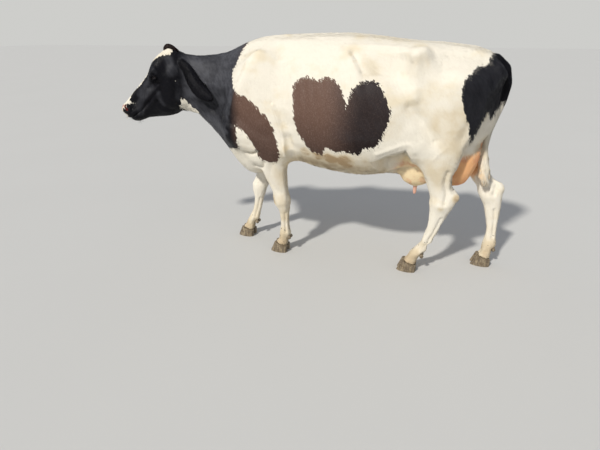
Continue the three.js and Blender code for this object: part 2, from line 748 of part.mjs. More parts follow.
// The tuft between the ears, curling forward over the forehead.
function pollTuft( grow ) {

	const curl = new THREE.CatmullRomCurve3( POLL_CURL.map( ( [ along, out ] ) => new THREE.Vector3( along, 0, out ) ) );
	const across = new THREE.Vector3( 0, 1, 0 );
	const steps = 8;
	const sections = Array.from( { length: steps }, ( _, i ) => {

		const t = i / ( steps - 1 );
		const lean = curl.getTangent( t );
		const out = new THREE.Vector3().crossVectors( lean, across ).normalize();
		const full = Math.sqrt( 1 - ( Math.max( t - 0.3, 0 ) / 0.72 ) ** 2 );
		return ringAt( seated( curl.getPoint( t ), lean, i, grow ), across, out, 48 * full + 2 + grow, 20 * full + 2 + grow, 0, 10 );

	} );
	return loft( sections ).applyMatrix4( HEAD_FRAME );

}

// A length of the tail: level rings down its rows.
function tailGeometry( rows, grow ) {

	const centres = new THREE.CatmullRomCurve3( rows.map( ( [ z, , , x, y ] ) => new THREE.Vector3( x, y, z ) ) );
	const sections = rows.map( ( [ , halfDepth, halfWidth ], i ) => {

		const t = i / ( rows.length - 1 );
		const down = centres.getTangent( t );
		const aside = new THREE.Vector3( 0, 1, 0 ).addScaledVector( down, - down.y ).normalize();
		const astern = new THREE.Vector3().crossVectors( aside, down ).normalize();
		return ringAt( seated( centres.points[ i ], down, i, grow ), astern, aside, halfDepth + grow, halfWidth + grow, 0, 10 );

	} );
	return loft( sections );

}

// ---- Feet -------------------------------------------------------------------------------------------

// One claw: a flat sole with a round toe, its walls sloping back to the coronet.
function clawGeometry( x, y, inward ) {

	const ring = ( height ) => {

		const rise = height / CLAW_HEIGHT;
		return Array.from( { length: 12 }, ( _, i ) => {

			const angle = i / 12 * 2 * Math.PI;
			const ahead = Math.cos( angle );
			const aside = Math.sin( - angle );
			const toe = ahead > 0 ? 0.56 - 0.24 * rise : 0.44 - 0.02 * rise;
			const flatten = aside * inward > 0 ? 0.42 : 0.58 - 0.06 * rise;
			const taper = 1 - 0.3 * Math.max( ahead, 0 ) ** 2;
			return new THREE.Vector3(
				x - CLAW_LENGTH * toe * ahead + 4 * rise,
				y + CLAW_WIDTH * flatten * Math.sign( aside ) * Math.abs( aside ) ** 0.7 * taper + 3 * inward * ahead,
				height,
			);

		} );

	};
	return loft( [ 0, 0.5, 1 ].map( part => ring( part * CLAW_HEIGHT ) ) );

}

function dewclawGeometry( x, y, z, radius ) {

	return new THREE.SphereGeometry( radius, 6, 4 ).scale( 1.1, 0.9, 1.25 ).translate( x, y, z );

}

// Adds a leg's claws and dewclaws, and gives back the leg with room for them.
function addFoot( name, legSolid ) {

	const [ footX, footY ] = legMiddle( name, 60 );
	const [ fetlockX, fetlockY ] = legMiddle( name, name.startsWith( 'foreleg' ) ? 140 : 135 );
	const through = [ footX, footY, CORONET_HEIGHT ];
	const side = name.endsWith( 'left' ) ? LEFT : RIGHT;
	let rest = keepSide( legSolid, through, CORONET_SLOPE );
	for ( const outward of [ LEFT, RIGHT ] ) {

		const label = outward === side ? 'outer' : 'inner';
		const claw = solidOf( clawGeometry( footX - 4, footY + outward * CLAW_APART, - outward ) );
		addNode( `claw_${ name }_${ label }`, keepSide( claw, through, flip( CORONET_SLOPE ) ), HORN );
		const place = [ fetlockX + DEWCLAW_BEHIND, fetlockY + outward * DEWCLAW_APART, DEWCLAW_HEIGHT ];
		rest = rest.subtract( solidOf( dewclawGeometry( ...place, DEWCLAW_RADIUS + CUT ) ) );
		addNode( `dewclaw_${ name }_${ label }`, dewclawGeometry( ...place, DEWCLAW_RADIUS ), HORN );

	}
	return rest;

}

// A teat hangs from the udder's floor and has a round tip.
function teatGeometry( x, y, grow ) {

	const heights = [ 30, 0, - 0.6 * TEAT_LENGTH, - 0.9 * TEAT_LENGTH, - TEAT_LENGTH ];
	const radii = [ 1, 1.1, 0.95, 0.75, 0.3 ].map( part => part * TEAT_RADIUS + grow );
	return loft( heights.map( ( height, i ) => Array.from( { length: 8 }, ( _, k ) => {

		const angle = - k / 8 * 2 * Math.PI;
		const low = seated( new THREE.Vector3( x, y, UDDER_FLOOR + height ), DOWN, i, grow );
		return low.add( new THREE.Vector3( Math.cos( angle ), Math.sin( angle ), 0 ).multiplyScalar( radii[ i ] ) );

	} ) ) );

}

// ---- Building the nodes --------------------------------------------------------------------------------

const sides = [ [ LEFT, 'left' ], [ RIGHT, 'right' ] ];

// The room a leg takes: what of the flesh lies in it is that leg's.
function legRoom( name, grow ) {

	const side = name.endsWith( 'left' ) ? LEFT : RIGHT;
	const rings = LEG_ROOMS[ name ].map( ( [ height, front, back, inner ], i, rows ) => {

		const z = height + ( i === rows.length - 1 ? grow : 0 );
		const near = side * ( inner - grow );
		const far = side * 400;
		const ring = [ [ front - grow, near ], [ back + grow, near ], [ back + grow, far ], [ front - grow, far ] ];
		if ( side === LEFT ) ring.reverse();
		return ring.map( ( [ x, y ] ) => new THREE.Vector3( x, y, z ) );

	} );
	return solidOf( loft( rings ) );

}

// The room the udder takes, below a slanted plane.
function udderRoom( grow ) {

	const [ front, back ] = UDDER_ENDS;
	const room = box( [ front - grow, - 170, 400 ], [ back + grow, 170, 1000 ] );
	const unit = new THREE.Vector3( ...UDDER_SLOPE ).normalize();
	return room.trimByPlane( unit.toArray(), unit.dot( new THREE.Vector3( front, 0, UDDER_TOP ) ) - grow );

}

let trunkSolid = fleshSolid( [ - 960, - 440, 480 ], [ 900, 440, 1540 ], [ 90, 66, 68 ] );
trunkSolid = keepSide( trunkSolid, COLLAR_THROUGH, flip( COLLAR_NORMAL ) );
let udderSolid = fleshSolid( [ 220, - 190, 480 ], [ 880, 190, 940 ], [ 58, 46, 46 ] ).intersect( udderRoom( - CUT / 2 ) );
const tailRoom = solidOf( tailGeometry( TAIL, SEAT ) );
trunkSolid = trunkSolid.subtract( udderRoom( CUT / 2 ) ).subtract( tailRoom );
udderSolid = udderSolid.subtract( tailRoom );

for ( const name of Object.keys( legs ) ) {

	const { low, high, cell } = LEG_NETS[ name ];
	const legSolid = fleshSolid( low, high, cell ).intersect( legRoom( name, - CUT / 2 ) );
	addNode( name, addFoot( name, legSolid ), WHITE_COAT );
	const room = legRoom( name, CUT / 2 );
	trunkSolid = trunkSolid.subtract( room );
	udderSolid = udderSolid.subtract( room );

}

let neckSolid = fleshSolid( [ - 1330, - 270, 520 ], [ - 540, 270, 1520 ], [ 74, 58, 68 ] );
neckSolid = keepSide( neckSolid, COLLAR_THROUGH, COLLAR_NORMAL );
neckSolid = keepSide( neckSolid, NAPE_THROUGH, flip( NAPE_NORMAL ) );
let headSolid = fleshSolid( [ - 110, - 140, - 370 ], [ 545, 140, 50 ], [ 31, 23, 25 ], HEAD_FRAME );
headSolid = keepSide( headSolid, NAPE_THROUGH, NAPE_NORMAL );

for ( const [ side, label ] of sides ) {

	headSolid = headSolid.subtract( solidOf( eyeGeometry( side, EYE_RADIUS + CUT ) ) );
	addNode( `eye_${ label }`, eyeGeometry( side, EYE_RADIUS ), EYE );
	const socket = solidOf( earGeometry( side, SEAT ) );
	headSolid = headSolid.subtract( socket );
	neckSolid = neckSolid.subtract( socket );
	addNode( `ear_${ label }`, earGeometry( side, 0 ), BLACK_COAT );

}
const tuftRoom = solidOf( pollTuft( SEAT ) );
addNode( 'head', headSolid.subtract( tuftRoom ), BLACK_COAT );
addNode( 'neck', neckSolid.subtract( tuftRoom ), BLACK_COAT );
addNode( 'poll_tuft', pollTuft( 0 ), BLACK_COAT );

for ( const [ place, x ] of TEAT_ROWS ) {

	for ( const [ side, label ] of sides ) {

		const teat = grow => teatGeometry( x, side * TEAT_APART, grow );
		udderSolid = udderSolid.subtract( solidOf( teat( CUT ) ) );
		addNode( `teat_${ place }_${ label }`, teat( 0 ), BARE_SKIN );

	}

}
addNode( 'udder', udderSolid, BARE_SKIN );
addNode( 'trunk', trunkSolid, WHITE_COAT );
const switchTop = [ 0, 0, SWITCH_HEIGHT ];
addNode( 'tail', keepSide( solidOf( tailGeometry( TAIL, 0 ) ), switchTop, [ 0, 0, 1 ] ), BLACK_COAT );
addNode( 'tail_switch', keepSide( solidOf( tailGeometry( SWITCH, 0 ) ), switchTop, [ 0, 0, - 1 ] ), WHITE_COAT );

// She stands over the middle of the floor.
const extent = new THREE.Box3().setFromObject( cow );
const middle = extent.getCenter( new THREE.Vector3() );
for ( const mesh of cow.children ) mesh.geometry.translate( - middle.x, - middle.y, - extent.min.z );

export default cow;
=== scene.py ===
"""Looks of a grown Holstein-Friesian dairy cow, life size, standing in mid stride.

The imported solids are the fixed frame. One skin stands for all the nodes of flesh, and tufts and locks of
solid mesh make the coat over it. Metres, +Z up. She faces -X and her left side is towards -Y.
"""

import math

import bpy
import numpy as np
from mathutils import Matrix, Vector
from mathutils.bvhtree import BVHTree


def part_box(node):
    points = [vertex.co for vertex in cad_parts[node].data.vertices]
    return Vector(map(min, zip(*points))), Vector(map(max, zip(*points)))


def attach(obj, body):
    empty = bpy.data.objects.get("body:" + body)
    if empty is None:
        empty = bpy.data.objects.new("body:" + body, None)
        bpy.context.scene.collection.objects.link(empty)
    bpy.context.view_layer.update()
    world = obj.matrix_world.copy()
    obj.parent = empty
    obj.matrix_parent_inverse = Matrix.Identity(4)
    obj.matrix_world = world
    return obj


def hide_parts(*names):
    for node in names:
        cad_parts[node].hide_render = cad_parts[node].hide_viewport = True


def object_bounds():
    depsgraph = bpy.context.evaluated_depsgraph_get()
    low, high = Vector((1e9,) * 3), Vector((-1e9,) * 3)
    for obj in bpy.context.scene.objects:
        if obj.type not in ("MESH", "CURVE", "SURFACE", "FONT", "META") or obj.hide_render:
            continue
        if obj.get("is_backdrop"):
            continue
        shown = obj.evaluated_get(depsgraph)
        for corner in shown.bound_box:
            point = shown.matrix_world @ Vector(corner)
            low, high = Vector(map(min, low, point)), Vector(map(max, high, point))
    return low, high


bl_info = {
    "name": "Dairy cow",
    "version": (1, 0, 0),
    "blender": (4, 5, 0),
    "location": "3D View > Sidebar > Cow",
    "description": "Builds the skin, coat, eyes and claws of a life-size dairy cow round its packed solids",
    "category": "Add Mesh",
}

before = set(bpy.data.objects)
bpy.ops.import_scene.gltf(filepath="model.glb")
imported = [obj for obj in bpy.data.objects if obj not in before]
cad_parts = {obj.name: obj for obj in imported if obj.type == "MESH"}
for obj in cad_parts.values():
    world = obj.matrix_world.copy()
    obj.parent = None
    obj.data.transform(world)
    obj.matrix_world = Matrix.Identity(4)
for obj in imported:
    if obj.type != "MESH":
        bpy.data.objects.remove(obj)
CAD_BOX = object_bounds()
SEED = 7

SIDES = (("left", 1.0), ("right", -1.0))       # her left is +1 across the head, and -Y along the body
LEGS = ("foreleg_left", "foreleg_right", "hindleg_left", "hindleg_right")
TEATS = tuple(f"teat_{row}_{side}" for row in ("fore", "rear") for side in ("left", "right"))
FLESH = ("head", "neck", "trunk", "udder", "tail", "ear_left", "ear_right") + TEATS + LEGS

# How far each kind of flesh is rounded, how deep its coat is, and how long its hair is.
REGIONS = {
    "head": {"round": 0.1, "coat": 0.0012, "hair": 0.011},
    "ear": {"round": 0.04, "coat": 0.0006, "hair": 0.014},
    "neck": {"round": 0.45, "coat": 0.003, "hair": 0.022},
    "trunk": {"round": 0.5, "coat": 0.0035, "hair": 0.024},
    "leg": {"round": 0.24, "coat": 0.002, "hair": 0.016},
    "tail": {"round": 0.35, "coat": 0.003, "hair": 0.03},
    "udder": {"round": 0.3, "coat": 0.0006, "hair": 0.012},
    "teat": {"round": 0.08, "coat": 0.0002, "hair": 0.008},
}
REGION_NAMES = tuple(REGIONS)


def region_of(node):
    """The kind of flesh a node is."""
    kind = node.split("_")[0]
    return "leg" if kind in ("foreleg", "hindleg") else kind


# ---- Sizes and colours a user may change --------------------------------------------------------------

class CowSkinSizes(bpy.types.PropertyGroup):
    grain: bpy.props.FloatProperty(name="Grain", description="Size of the skin's first net", default=0.005,
                                   min=0.004, max=0.02, subtype="DISTANCE", unit="LENGTH")
    overlap: bpy.props.FloatProperty(name="Overlap", description="How far the flesh grows to meet again",
                                     default=0.0007, subtype="DISTANCE", unit="LENGTH")
    rounding: bpy.props.IntProperty(name="Rounding", description="Passes that round the facets away",
                                    default=34, min=0, max=200)
    faces: bpy.props.IntProperty(name="Faces", description="Triangles the finished skin may have",
                                 default=190000, min=20000, max=199000)


class CowCoatSizes(bpy.types.PropertyGroup):
    fullness: bpy.props.FloatProperty(name="Fullness", description="Share of the full number of tufts",
                                      default=1.0, min=0.0, max=2.0, subtype="FACTOR")
    length: bpy.props.FloatProperty(name="Length", description="Length of the hair beside its usual length",
                                    default=1.0, min=0.2, max=3.0, subtype="FACTOR")
    switch_locks: bpy.props.IntProperty(name="Switch locks", description="Locks in the tail's switch",
                                        default=1100, min=10, max=2000)
    poll_locks: bpy.props.IntProperty(name="Poll locks", description="Locks in the tuft on the poll",
                                      default=900, min=10, max=2000)


def colour(name, description, value):
    """A colour property."""
    return bpy.props.FloatVectorProperty(name=name, description=description, default=value, size=3,
                                         min=0.0, max=1.0, subtype="COLOR")


class CowColours(bpy.types.PropertyGroup):
    white: colour("White hair", "Clean white hair", (0.84, 0.79, 0.68))
    cream: colour("Cream hair", "White hair that has yellowed", (0.78, 0.69, 0.52))
    tan: colour("Stain", "Soil on the white hair", (0.42, 0.29, 0.16))
    black: colour("Black hair", "Black hair", (0.0036, 0.0038, 0.0062))
    # Painted sheen: this grey stands partly for dust and partly for the sheen of light on black hair.
    dust_and_sheen_grey: colour("Dusty black hair", "Black hair with dust in it", (0.07, 0.072, 0.083))
    brown: colour("Brown hair", "Sunburnt black hair", (0.135, 0.078, 0.057))
    pink: colour("Bare skin", "Bare skin of the udder", (0.78, 0.42, 0.2))
    nose: colour("Nose", "Bare skin of the muzzle", (0.54, 0.3, 0.265))
    # Partly painted shade: the dark red inside the nostrils is partly their lining's own colour and partly
    # the shade in their hollows.
    inside: colour("Inside", "Inside of the nostrils", (0.1, 0.018, 0.016))
    horn: colour("Horn", "Claws", (0.16, 0.125, 0.085))
    horn_pale: colour("Pale horn", "Pale streaks in the claws", (0.36, 0.29, 0.19))
    iris: colour("Iris", "Iris", (0.022, 0.01, 0.006))


class CowStage(bpy.types.PropertyGroup):
    lens: bpy.props.FloatProperty(name="Lens", description="Focal length on a 36 mm sensor, in millimetres",
                                  default=26.74, min=8.0, max=200.0)
    place: bpy.props.FloatVectorProperty(name="Camera", description="Where the camera stands", size=3,
                                         default=(0.807, -2.928, 1.47), subtype="XYZ", unit="LENGTH")
    pitch: bpy.props.FloatProperty(name="Pitch", description="How far the camera looks down",
                                   default=math.radians(23.08), subtype="ANGLE", unit="ROTATION")
    yaw: bpy.props.FloatProperty(name="Yaw", description="How far the camera turns from looking along +Y",
                                 default=math.radians(16.68), subtype="ANGLE", unit="ROTATION")
    floor: colour("Floor", "Pale floor", (0.6, 0.6, 0.585))


# ---- Her frame, as the solids say ---------------------------------------------------------------------

def centre(node):
    """The middle of a node's box."""
    low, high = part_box(node)
    return (np.array(low) + np.array(high)) / 2


EYE_CENTRES = {"left": centre("eye_left"), "right": centre("eye_right")}
EYE_RADIUS = float(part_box("eye_left")[1][2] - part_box("eye_left")[0][2]) / 2
HEAD_DROP = math.radians(50.2)          # nose line below level
EYE_ALONG = 0.184                       # the eyes' place down the face from the poll
EYE_SUNK = 0.056                        # and behind the nose line
SLICE = 0.035                           # half the height of a slice through a limb


def head_axes():
    """The head's frame: its origin at the poll, and rows down the nose, to the left, and out of the face."""
    across = EYE_CENTRES["left"] - EYE_CENTRES["right"]
    across = across / np.linalg.norm(across)
    up = np.array((0.0, 0.0, 1.0))
    ahead = np.cross(across, up)
    along = ahead * math.cos(HEAD_DROP) - up * math.sin(HEAD_DROP)
    out = ahead * math.sin(HEAD_DROP) + up * math.cos(HEAD_DROP)
    middle = (EYE_CENTRES["left"] + EYE_CENTRES["right"]) / 2
    return middle - along * EYE_ALONG + out * EYE_SUNK, np.array((along, across, out))


HEAD_ORIGIN, HEAD_AXES = head_axes()


def to_head(points):
    """Places in the head's frame."""
    return (points - HEAD_ORIGIN) @ HEAD_AXES.T


def from_head(points):
    """Places in the row frame of places in the head's frame."""
    return np.asarray(points, float) @ HEAD_AXES + HEAD_ORIGIN


def node_points(node):
    """A node's vertices."""
    return points_of(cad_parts[node].data)


def leg_section(leg, height):
    """Lowest and highest X and Y of a leg near a height."""
    points = node_points(leg)
    near = points[np.abs(points[:, 2] - height) < SLICE]
    return near[:, :2].min(0), near[:, :2].max(0)


def leg_place(leg, height, fore, outer):
    """A place on a leg. fore runs from -1 at the back to 1 in front, outer from -1 inside to 1 outside."""
    low, high = leg_section(leg, height)
    middle, half = (low + high) / 2, (high - low) / 2
    outwards = -1.0 if leg.endswith("left") else 1.0
    return (middle[0] - fore * half[0], middle[1] + outwards * outer * half[1], height)


# ---- Arrays and meshes --------------------------------------------------------------------------------

def steps(value, low, high):
    """0 below low, 1 above high, and smooth between."""
    t = np.clip((value - low) / (high - low), 0.0, 1.0)
    return t * t * (3 - 2 * t)


def unit(vectors):
    """Vectors of length 1."""
    return vectors / np.maximum(np.linalg.norm(vectors, axis=-1, keepdims=True), 1e-12)


def read(collection, name, width, kind=np.float32):
    """One property of all items of a collection, as rows."""
    values = np.empty(len(collection) * width, kind)
    collection.foreach_get(name, values)
    values = values.astype(float if kind is np.float32 else int)
    return values.reshape(-1, width) if width > 1 else values


def points_of(mesh):
    """A mesh's vertices."""
    return read(mesh.vertices, "co", 3)


def normals_of(mesh):
    """The way out of a mesh at its vertices."""
    return read(mesh.vertices, "normal", 3)


def ends_of(mesh):
    """The two vertices of each edge."""
    return read(mesh.edges, "vertices", 2, np.int32)


def write_points(mesh, points):
    """Moves a mesh's vertices."""
    mesh.vertices.foreach_set("co", np.ascontiguousarray(points, np.float32).ravel())
    mesh.update()


def write_values(mesh, name, values):
    """Keeps one number for each vertex."""
    layer = mesh.attributes.get(name) or mesh.attributes.new(name, "FLOAT", "POINT")
    layer.data.foreach_set("value", np.ascontiguousarray(values, np.float32))


def neighbour_mean(values, ends, counts):
    """The mean of each vertex's neighbours."""
    a, b = ends.T
    size = len(counts)
    total = [np.bincount(a, values[b, i], size) + np.bincount(b, values[a, i], size)
             for i in range(values.shape[1])]
    return np.stack(total, 1) / counts[:, None]


def spread(values, ends, passes, strength=0.5):
    """Values evened out over a mesh's net."""
    flat = values.ndim == 1
    values = values[:, None] if flat else values
    strength = np.broadcast_to(strength, len(values))[:, None]
    counts = np.maximum(np.bincount(ends.ravel(), minlength=len(values)), 1)
    for _ in range(passes):
        values = values + strength * (neighbour_mean(values, ends, counts) - values)
    return values[:, 0] if flat else values


def rounded(points, ends, passes, strength):
    """Points smoothed without losing the form: what smoothing took away is smoothed and given back."""
    soft = spread(points, ends, passes, strength)
    return soft + spread(points - soft, ends, passes, strength)


def span_distance(points, a, b):
    """Distance from each point to the straight span from a to b."""
    span = b - a
    t = np.clip((points - a) @ span / max(span @ span, 1e-12), 0, 1)
    return np.linalg.norm(points - a - t[:, None] * span, axis=1)


def path_distance(points, path):
    """Distance from each point to a path of straight spans."""
    path = np.asarray(path, float)
    if len(path) == 1:
        return np.linalg.norm(points - path[0], axis=1)
    return np.min([span_distance(points, a, b) for a, b in zip(path[:-1], path[1:])], 0)


def curve_through(places, closed=False, per_span=6):
    """A smooth line through places. A place given twice is a sharp corner."""
    places = np.asarray(places, float)
    count = len(places)
    line = []
    for i in range(count if closed else count - 1):
        p0, p1, p2, p3 = (places[(i + k) % count if closed else min(max(i + k, 0), count - 1)]
                          for k in (-1, 0, 1, 2))
        if np.allclose(p1, p2):
            continue
        reach = np.linalg.norm(p2 - p1)
        enter = (p2 - p0) * reach / max(np.linalg.norm(p1 - p0) + reach, 1e-9) * 0.9
        leave = (p3 - p1) * reach / max(np.linalg.norm(p3 - p2) + reach, 1e-9) * 0.9
        enter = (p2 - p1) * 0.5 if np.allclose(p0, p1) else enter
        leave = (p2 - p1) * 0.5 if np.allclose(p2, p3) else leave
        for t in np.arange(per_span) / per_span:
            line.append((2 * t**3 - 3 * t**2 + 1) * p1 + (t**3 - 2 * t**2 + t) * enter
                        + (3 * t**2 - 2 * t**3) * p2 + (t**3 - t**2) * leave)
    return np.array(line if closed else line + [places[-1]])


def inside_by(points, outline):
    """How far points lie inside a closed flat outline, in metres. Outside is negative."""
    away = np.full(len(points), np.inf)
    inside = np.zeros(len(points), bool)
    for a, b in zip(outline, np.roll(outline, -1, 0)):
        away = np.minimum(away, span_distance(points, a, b))
        span = b - a
        if abs(span[1]) > 1e-12:
            crosses = (points[:, 1] < a[1]) != (points[:, 1] < b[1])
            at = a[0] + (points[:, 1] - a[1]) / span[1] * span[0]
            inside ^= crosses & (points[:, 0] < at)
    return np.where(inside, away, -away)


def inside_from_side(points, places):
    """How far points lie inside an outline that is seen from her side, given as places in X and Z."""
    return inside_by(points[:, [0, 2]], curve_through(places, closed=True, per_span=4))


def near_spot(away, reach):
    """1 at a spot, and 0 from its reach outwards."""
    return 1 - steps(away, reach * 0.3, reach)


def is_kind(region, *kinds):
    """Which points belong to some kinds of flesh."""
    return np.isin(region, [REGION_NAMES.index(kind) for kind in kinds])


def deselect():
    """Nothing selected, in object mode."""
    if bpy.context.object and bpy.context.object.mode != "OBJECT":
        bpy.ops.object.mode_set(mode="OBJECT")
    bpy.ops.object.select_all(action="DESELECT")


def take(thing):
    """Selects one object alone."""
    deselect()
    thing.select_set(True)
    bpy.context.view_layer.objects.active = thing


def apply(thing, kind, **settings):
    """Adds a modifier and applies it."""
    take(thing)
    modifier = thing.modifiers.new(kind.lower(), kind)
    for key, value in settings.items():
        setattr(modifier, key, value)
    bpy.ops.object.modifier_apply(modifier=modifier.name)


def copies_of(nodes, name):
    """One merged mesh of copies of some CAD nodes."""
    deselect()
    for node in nodes:
        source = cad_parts[node]
        copy = bpy.data.objects.new(name, source.data.copy())
        copy.data.materials.clear()
        bpy.context.collection.objects.link(copy)
        copy.select_set(True)
        bpy.context.view_layer.objects.active = copy
    if len(nodes) > 1:
        bpy.ops.object.join()
    made = bpy.context.view_layer.objects.active
    made.name = made.data.name = name
    bpy.ops.object.mode_set(mode="EDIT")
    bpy.ops.mesh.select_all(action="SELECT")
    bpy.ops.mesh.remove_doubles(threshold=1e-5)
    bpy.ops.object.mode_set(mode="OBJECT")
    return made


# ---- Forms under the skin -----------------------------------------------------------------------------

# Bones, muscles and folds of the body, the same on both sides: a path over her side as X and Z, the form's
# half width, and how far it stands out of the flesh.
SIDE_FORMS = (
    ("blade of the shoulder", [(-0.29, 1.37), (-0.37, 1.22), (-0.43, 1.06)], 0.026, 0.009),
    ("behind the shoulder", [(-0.16, 1.38), (-0.12, 1.18), (-0.09, 0.98)], 0.035, -0.013),
    ("point of the shoulder", [(-0.5, 0.93), (-0.47, 0.88)], 0.045, 0.01),
    ("upper arm", [(-0.42, 0.99), (-0.33, 0.93), (-0.22, 0.88)], 0.024, -0.009),
    ("elbow", [(-0.14, 0.79)], 0.03, 0.008),
    ("fold behind the elbow", [(-0.17, 1.07), (-0.128, 0.96), (-0.103, 0.86), (-0.098, 0.75)], 0.008,
     0.012),
    ("hollow behind the elbow", [(-0.078, 0.87), (-0.064, 0.8), (-0.056, 0.73)], 0.021, -0.02),
    ("short ribs", [(0.27, 1.412), (0.42, 1.412), (0.6, 1.4)], 0.014, 0.005),
    ("under the short ribs", [(0.3, 1.375), (0.46, 1.375), (0.6, 1.36)], 0.022, -0.006),
    ("last rib", [(0.27, 1.385), (0.31, 1.33), (0.36, 1.22), (0.41, 1.08)], 0.02, 0.008),
    ("loin crease", [(0.296, 1.385), (0.335, 1.34), (0.375, 1.285)], 0.012, -0.01),
    ("flank hollow", [(0.46, 1.31), (0.56, 1.29), (0.61, 1.21)], 0.05, -0.022),
    ("hook", [(0.665, 1.385), (0.69, 1.39)], 0.03, 0.0145),
    ("edge of the flank", [(0.665, 1.36), (0.672, 1.26), (0.685, 1.15)], 0.022, 0.012),
    ("rump hollow", [(0.78, 1.37), (0.92, 1.36), (1.02, 1.34)], 0.032, -0.014),
    ("thurl", [(0.9, 1.25)], 0.05, 0.01),
    ("stifle hollow", [(0.665, 1.09), (0.73, 1.02), (0.79, 0.94), (0.81, 0.91)], 0.024, -0.018),
    ("stifle", [(0.7, 0.96), (0.73, 0.9)], 0.04, 0.014),
    ("thigh groove", [(1.03, 1.2), (1.01, 1.05), (0.96, 0.92)], 0.022, -0.01),
    ("flank fold", [(0.5, 0.82), (0.56, 0.845), (0.63, 0.874), (0.68, 0.88), (0.71, 0.84)], 0.012, 0.008),
    ("brisket crease", [(-0.4, 0.745), (-0.34, 0.742), (-0.28, 0.765)], 0.008, -0.016),
    ("brisket pad", [(-0.35, 0.7), (-0.31, 0.7)], 0.026, 0.01),
    ("brisket corner", [(-0.34, 0.645), (-0.28, 0.645), (-0.255, 0.69)], 0.009, -0.014),
    ("skin vein", [(0.82, 0.79), (0.85, 0.83), (0.89, 0.87)], 0.006, 0.003),
)
RIBS = {"count": 8, "first": (-0.06, 1.26), "step": 0.058, "lean": (0.075, -0.42),
        "width": 0.013, "height": 0.0034}

# Forms near the middle of the body, as places.
MIDDLE_FORMS = (
    ("spine", [(-0.32, 0, 1.46), (0.0, 0, 1.48), (0.4, 0, 1.47), (0.8, 0, 1.43), (1.0, 0, 1.41)], 0.016,
     0.004),
    ("pins", [(1.13, -0.1, 1.31), (1.165, -0.1, 1.28)], 0.024, 0.011),
    ("pins", [(1.13, 0.1, 1.31), (1.165, 0.1, 1.28)], 0.024, 0.011),
    ("milk vein", [(0.42, -0.17, 0.63), (0.28, -0.19, 0.62), (0.16, -0.17, 0.63), (0.02, -0.19, 0.66)],
     0.009, 0.008),
    ("milk vein", [(0.42, 0.17, 0.63), (0.3, 0.15, 0.62), (0.15, 0.19, 0.63), (0.02, 0.17, 0.66)], 0.009,
     0.008),
    ("throat furrow", [(-0.82, -0.11, 1.05), (-0.72, -0.12, 1.03), (-0.62, -0.16, 0.98),
     (-0.44, -0.27, 0.94)], 0.018, -0.01),
    ("throat furrow", [(-0.86, 0.03, 1.05), (-0.72, 0.1, 1.03), (-0.62, 0.15, 0.98), (-0.44, 0.27, 0.94)],
     0.018, -0.01),
    ("dewlap", [(-0.74, 0, 0.89), (-0.62, 0, 0.76), (-0.52, 0, 0.62), (-0.42, 0, 0.55)], 0.014, 0.008),
    ("udder cleft", [(0.66, 0, 0.6), (0.8, 0, 0.57), (1.0, 0, 0.62)], 0.018, -0.01),
    ("rear udder cleft", [(1.06, 0, 0.66), (1.1, 0, 0.74), (1.1, 0, 0.8)], 0.012, -0.007),
    ("udder vein", [(0.66, -0.12, 0.7), (0.74, -0.13, 0.66), (0.82, -0.12, 0.66)], 0.006, 0.004),
)

# Forms of the face in the head's frame: along, across, out. They are the same on both sides.
FACE_FORMS = (
    ("brow", [(0.14, 0.092, -0.03), (0.17, 0.1, -0.026), (0.208, 0.094, -0.04)], 0.01, 0.009),
    ("edge of the forehead", [(0.04, 0.062, 0.002), (0.1, 0.074, 0.002), (0.15, 0.078, -0.008)], 0.014,
     0.006),
    ("temple", [(0.06, 0.092, -0.07), (0.12, 0.098, -0.08)], 0.022, -0.01),
    ("cheek crest", [(0.215, 0.088, -0.105), (0.275, 0.078, -0.106), (0.335, 0.068, -0.098)], 0.011, 0.01),
    ("below the eye", [(0.225, 0.086, -0.07), (0.255, 0.08, -0.062)], 0.016, -0.01),
    ("side of the nose", [(0.28, 0.066, -0.04), (0.35, 0.058, -0.04), (0.41, 0.054, -0.04)], 0.016, -0.009),
    ("edge of the nose", [(0.24, 0.05, 0.0), (0.33, 0.04, 0.004), (0.42, 0.04, 0.006)], 0.01, 0.005),
    ("chewing muscle", [(0.175, 0.088, -0.17), (0.225, 0.082, -0.215), (0.225, 0.075, -0.265)], 0.034,
     0.012),
    ("front of the muscle", [(0.3, 0.068, -0.15), (0.312, 0.062, -0.21), (0.29, 0.056, -0.27)], 0.014,
     -0.01),
    ("edge of the jaw", [(0.11, 0.07, -0.262), (0.19, 0.064, -0.304), (0.29, 0.052, -0.3)], 0.012, 0.004),
    ("cheek fold", [(0.25, 0.088, -0.134), (0.3, 0.079, -0.134), (0.35, 0.063, -0.132),
     (0.39, 0.054, -0.128)], 0.009, 0.007),
    ("above the cheek fold", [(0.27, 0.084, -0.114), (0.325, 0.071, -0.112), (0.372, 0.056, -0.109),
     (0.42, 0.053, -0.107)], 0.007, -0.006),
    ("mouth", [(0.516, 0.01, -0.07), (0.5, 0.036, -0.08), (0.47, 0.048, -0.091), (0.44, 0.053, -0.1)],
     0.004, -0.006),
    ("upper lip", [(0.505, 0.034, -0.06), (0.465, 0.052, -0.074), (0.415, 0.057, -0.094)], 0.011, 0.004),
    ("lower lip", [(0.498, 0.03, -0.098), (0.455, 0.045, -0.112), (0.405, 0.052, -0.128)], 0.01, 0.003),
    ("nostril wing", [(0.448, 0.044, -0.01), (0.452, 0.055, -0.03), (0.47, 0.06, -0.044)], 0.006, 0.004),
    ("nostril rim", [(0.462, 0.024, 0.006), (0.484, 0.026, -0.004), (0.494, 0.034, -0.018)], 0.006, 0.003),
    ("nostril", [(0.462, 0.038, -0.004), (0.476, 0.04, -0.014), (0.48, 0.05, -0.028)], 0.0065, -0.014),
    ("nostril slit", [(0.462, 0.05, -0.026), (0.452, 0.06, -0.048)], 0.0045, -0.006),
    ("muscle lines", [(0.15, 0.092, -0.14), (0.16, 0.086, -0.22)], 0.006, 0.003),
    ("muscle lines", [(0.125, 0.094, -0.15), (0.13, 0.084, -0.235)], 0.006, -0.003),
)
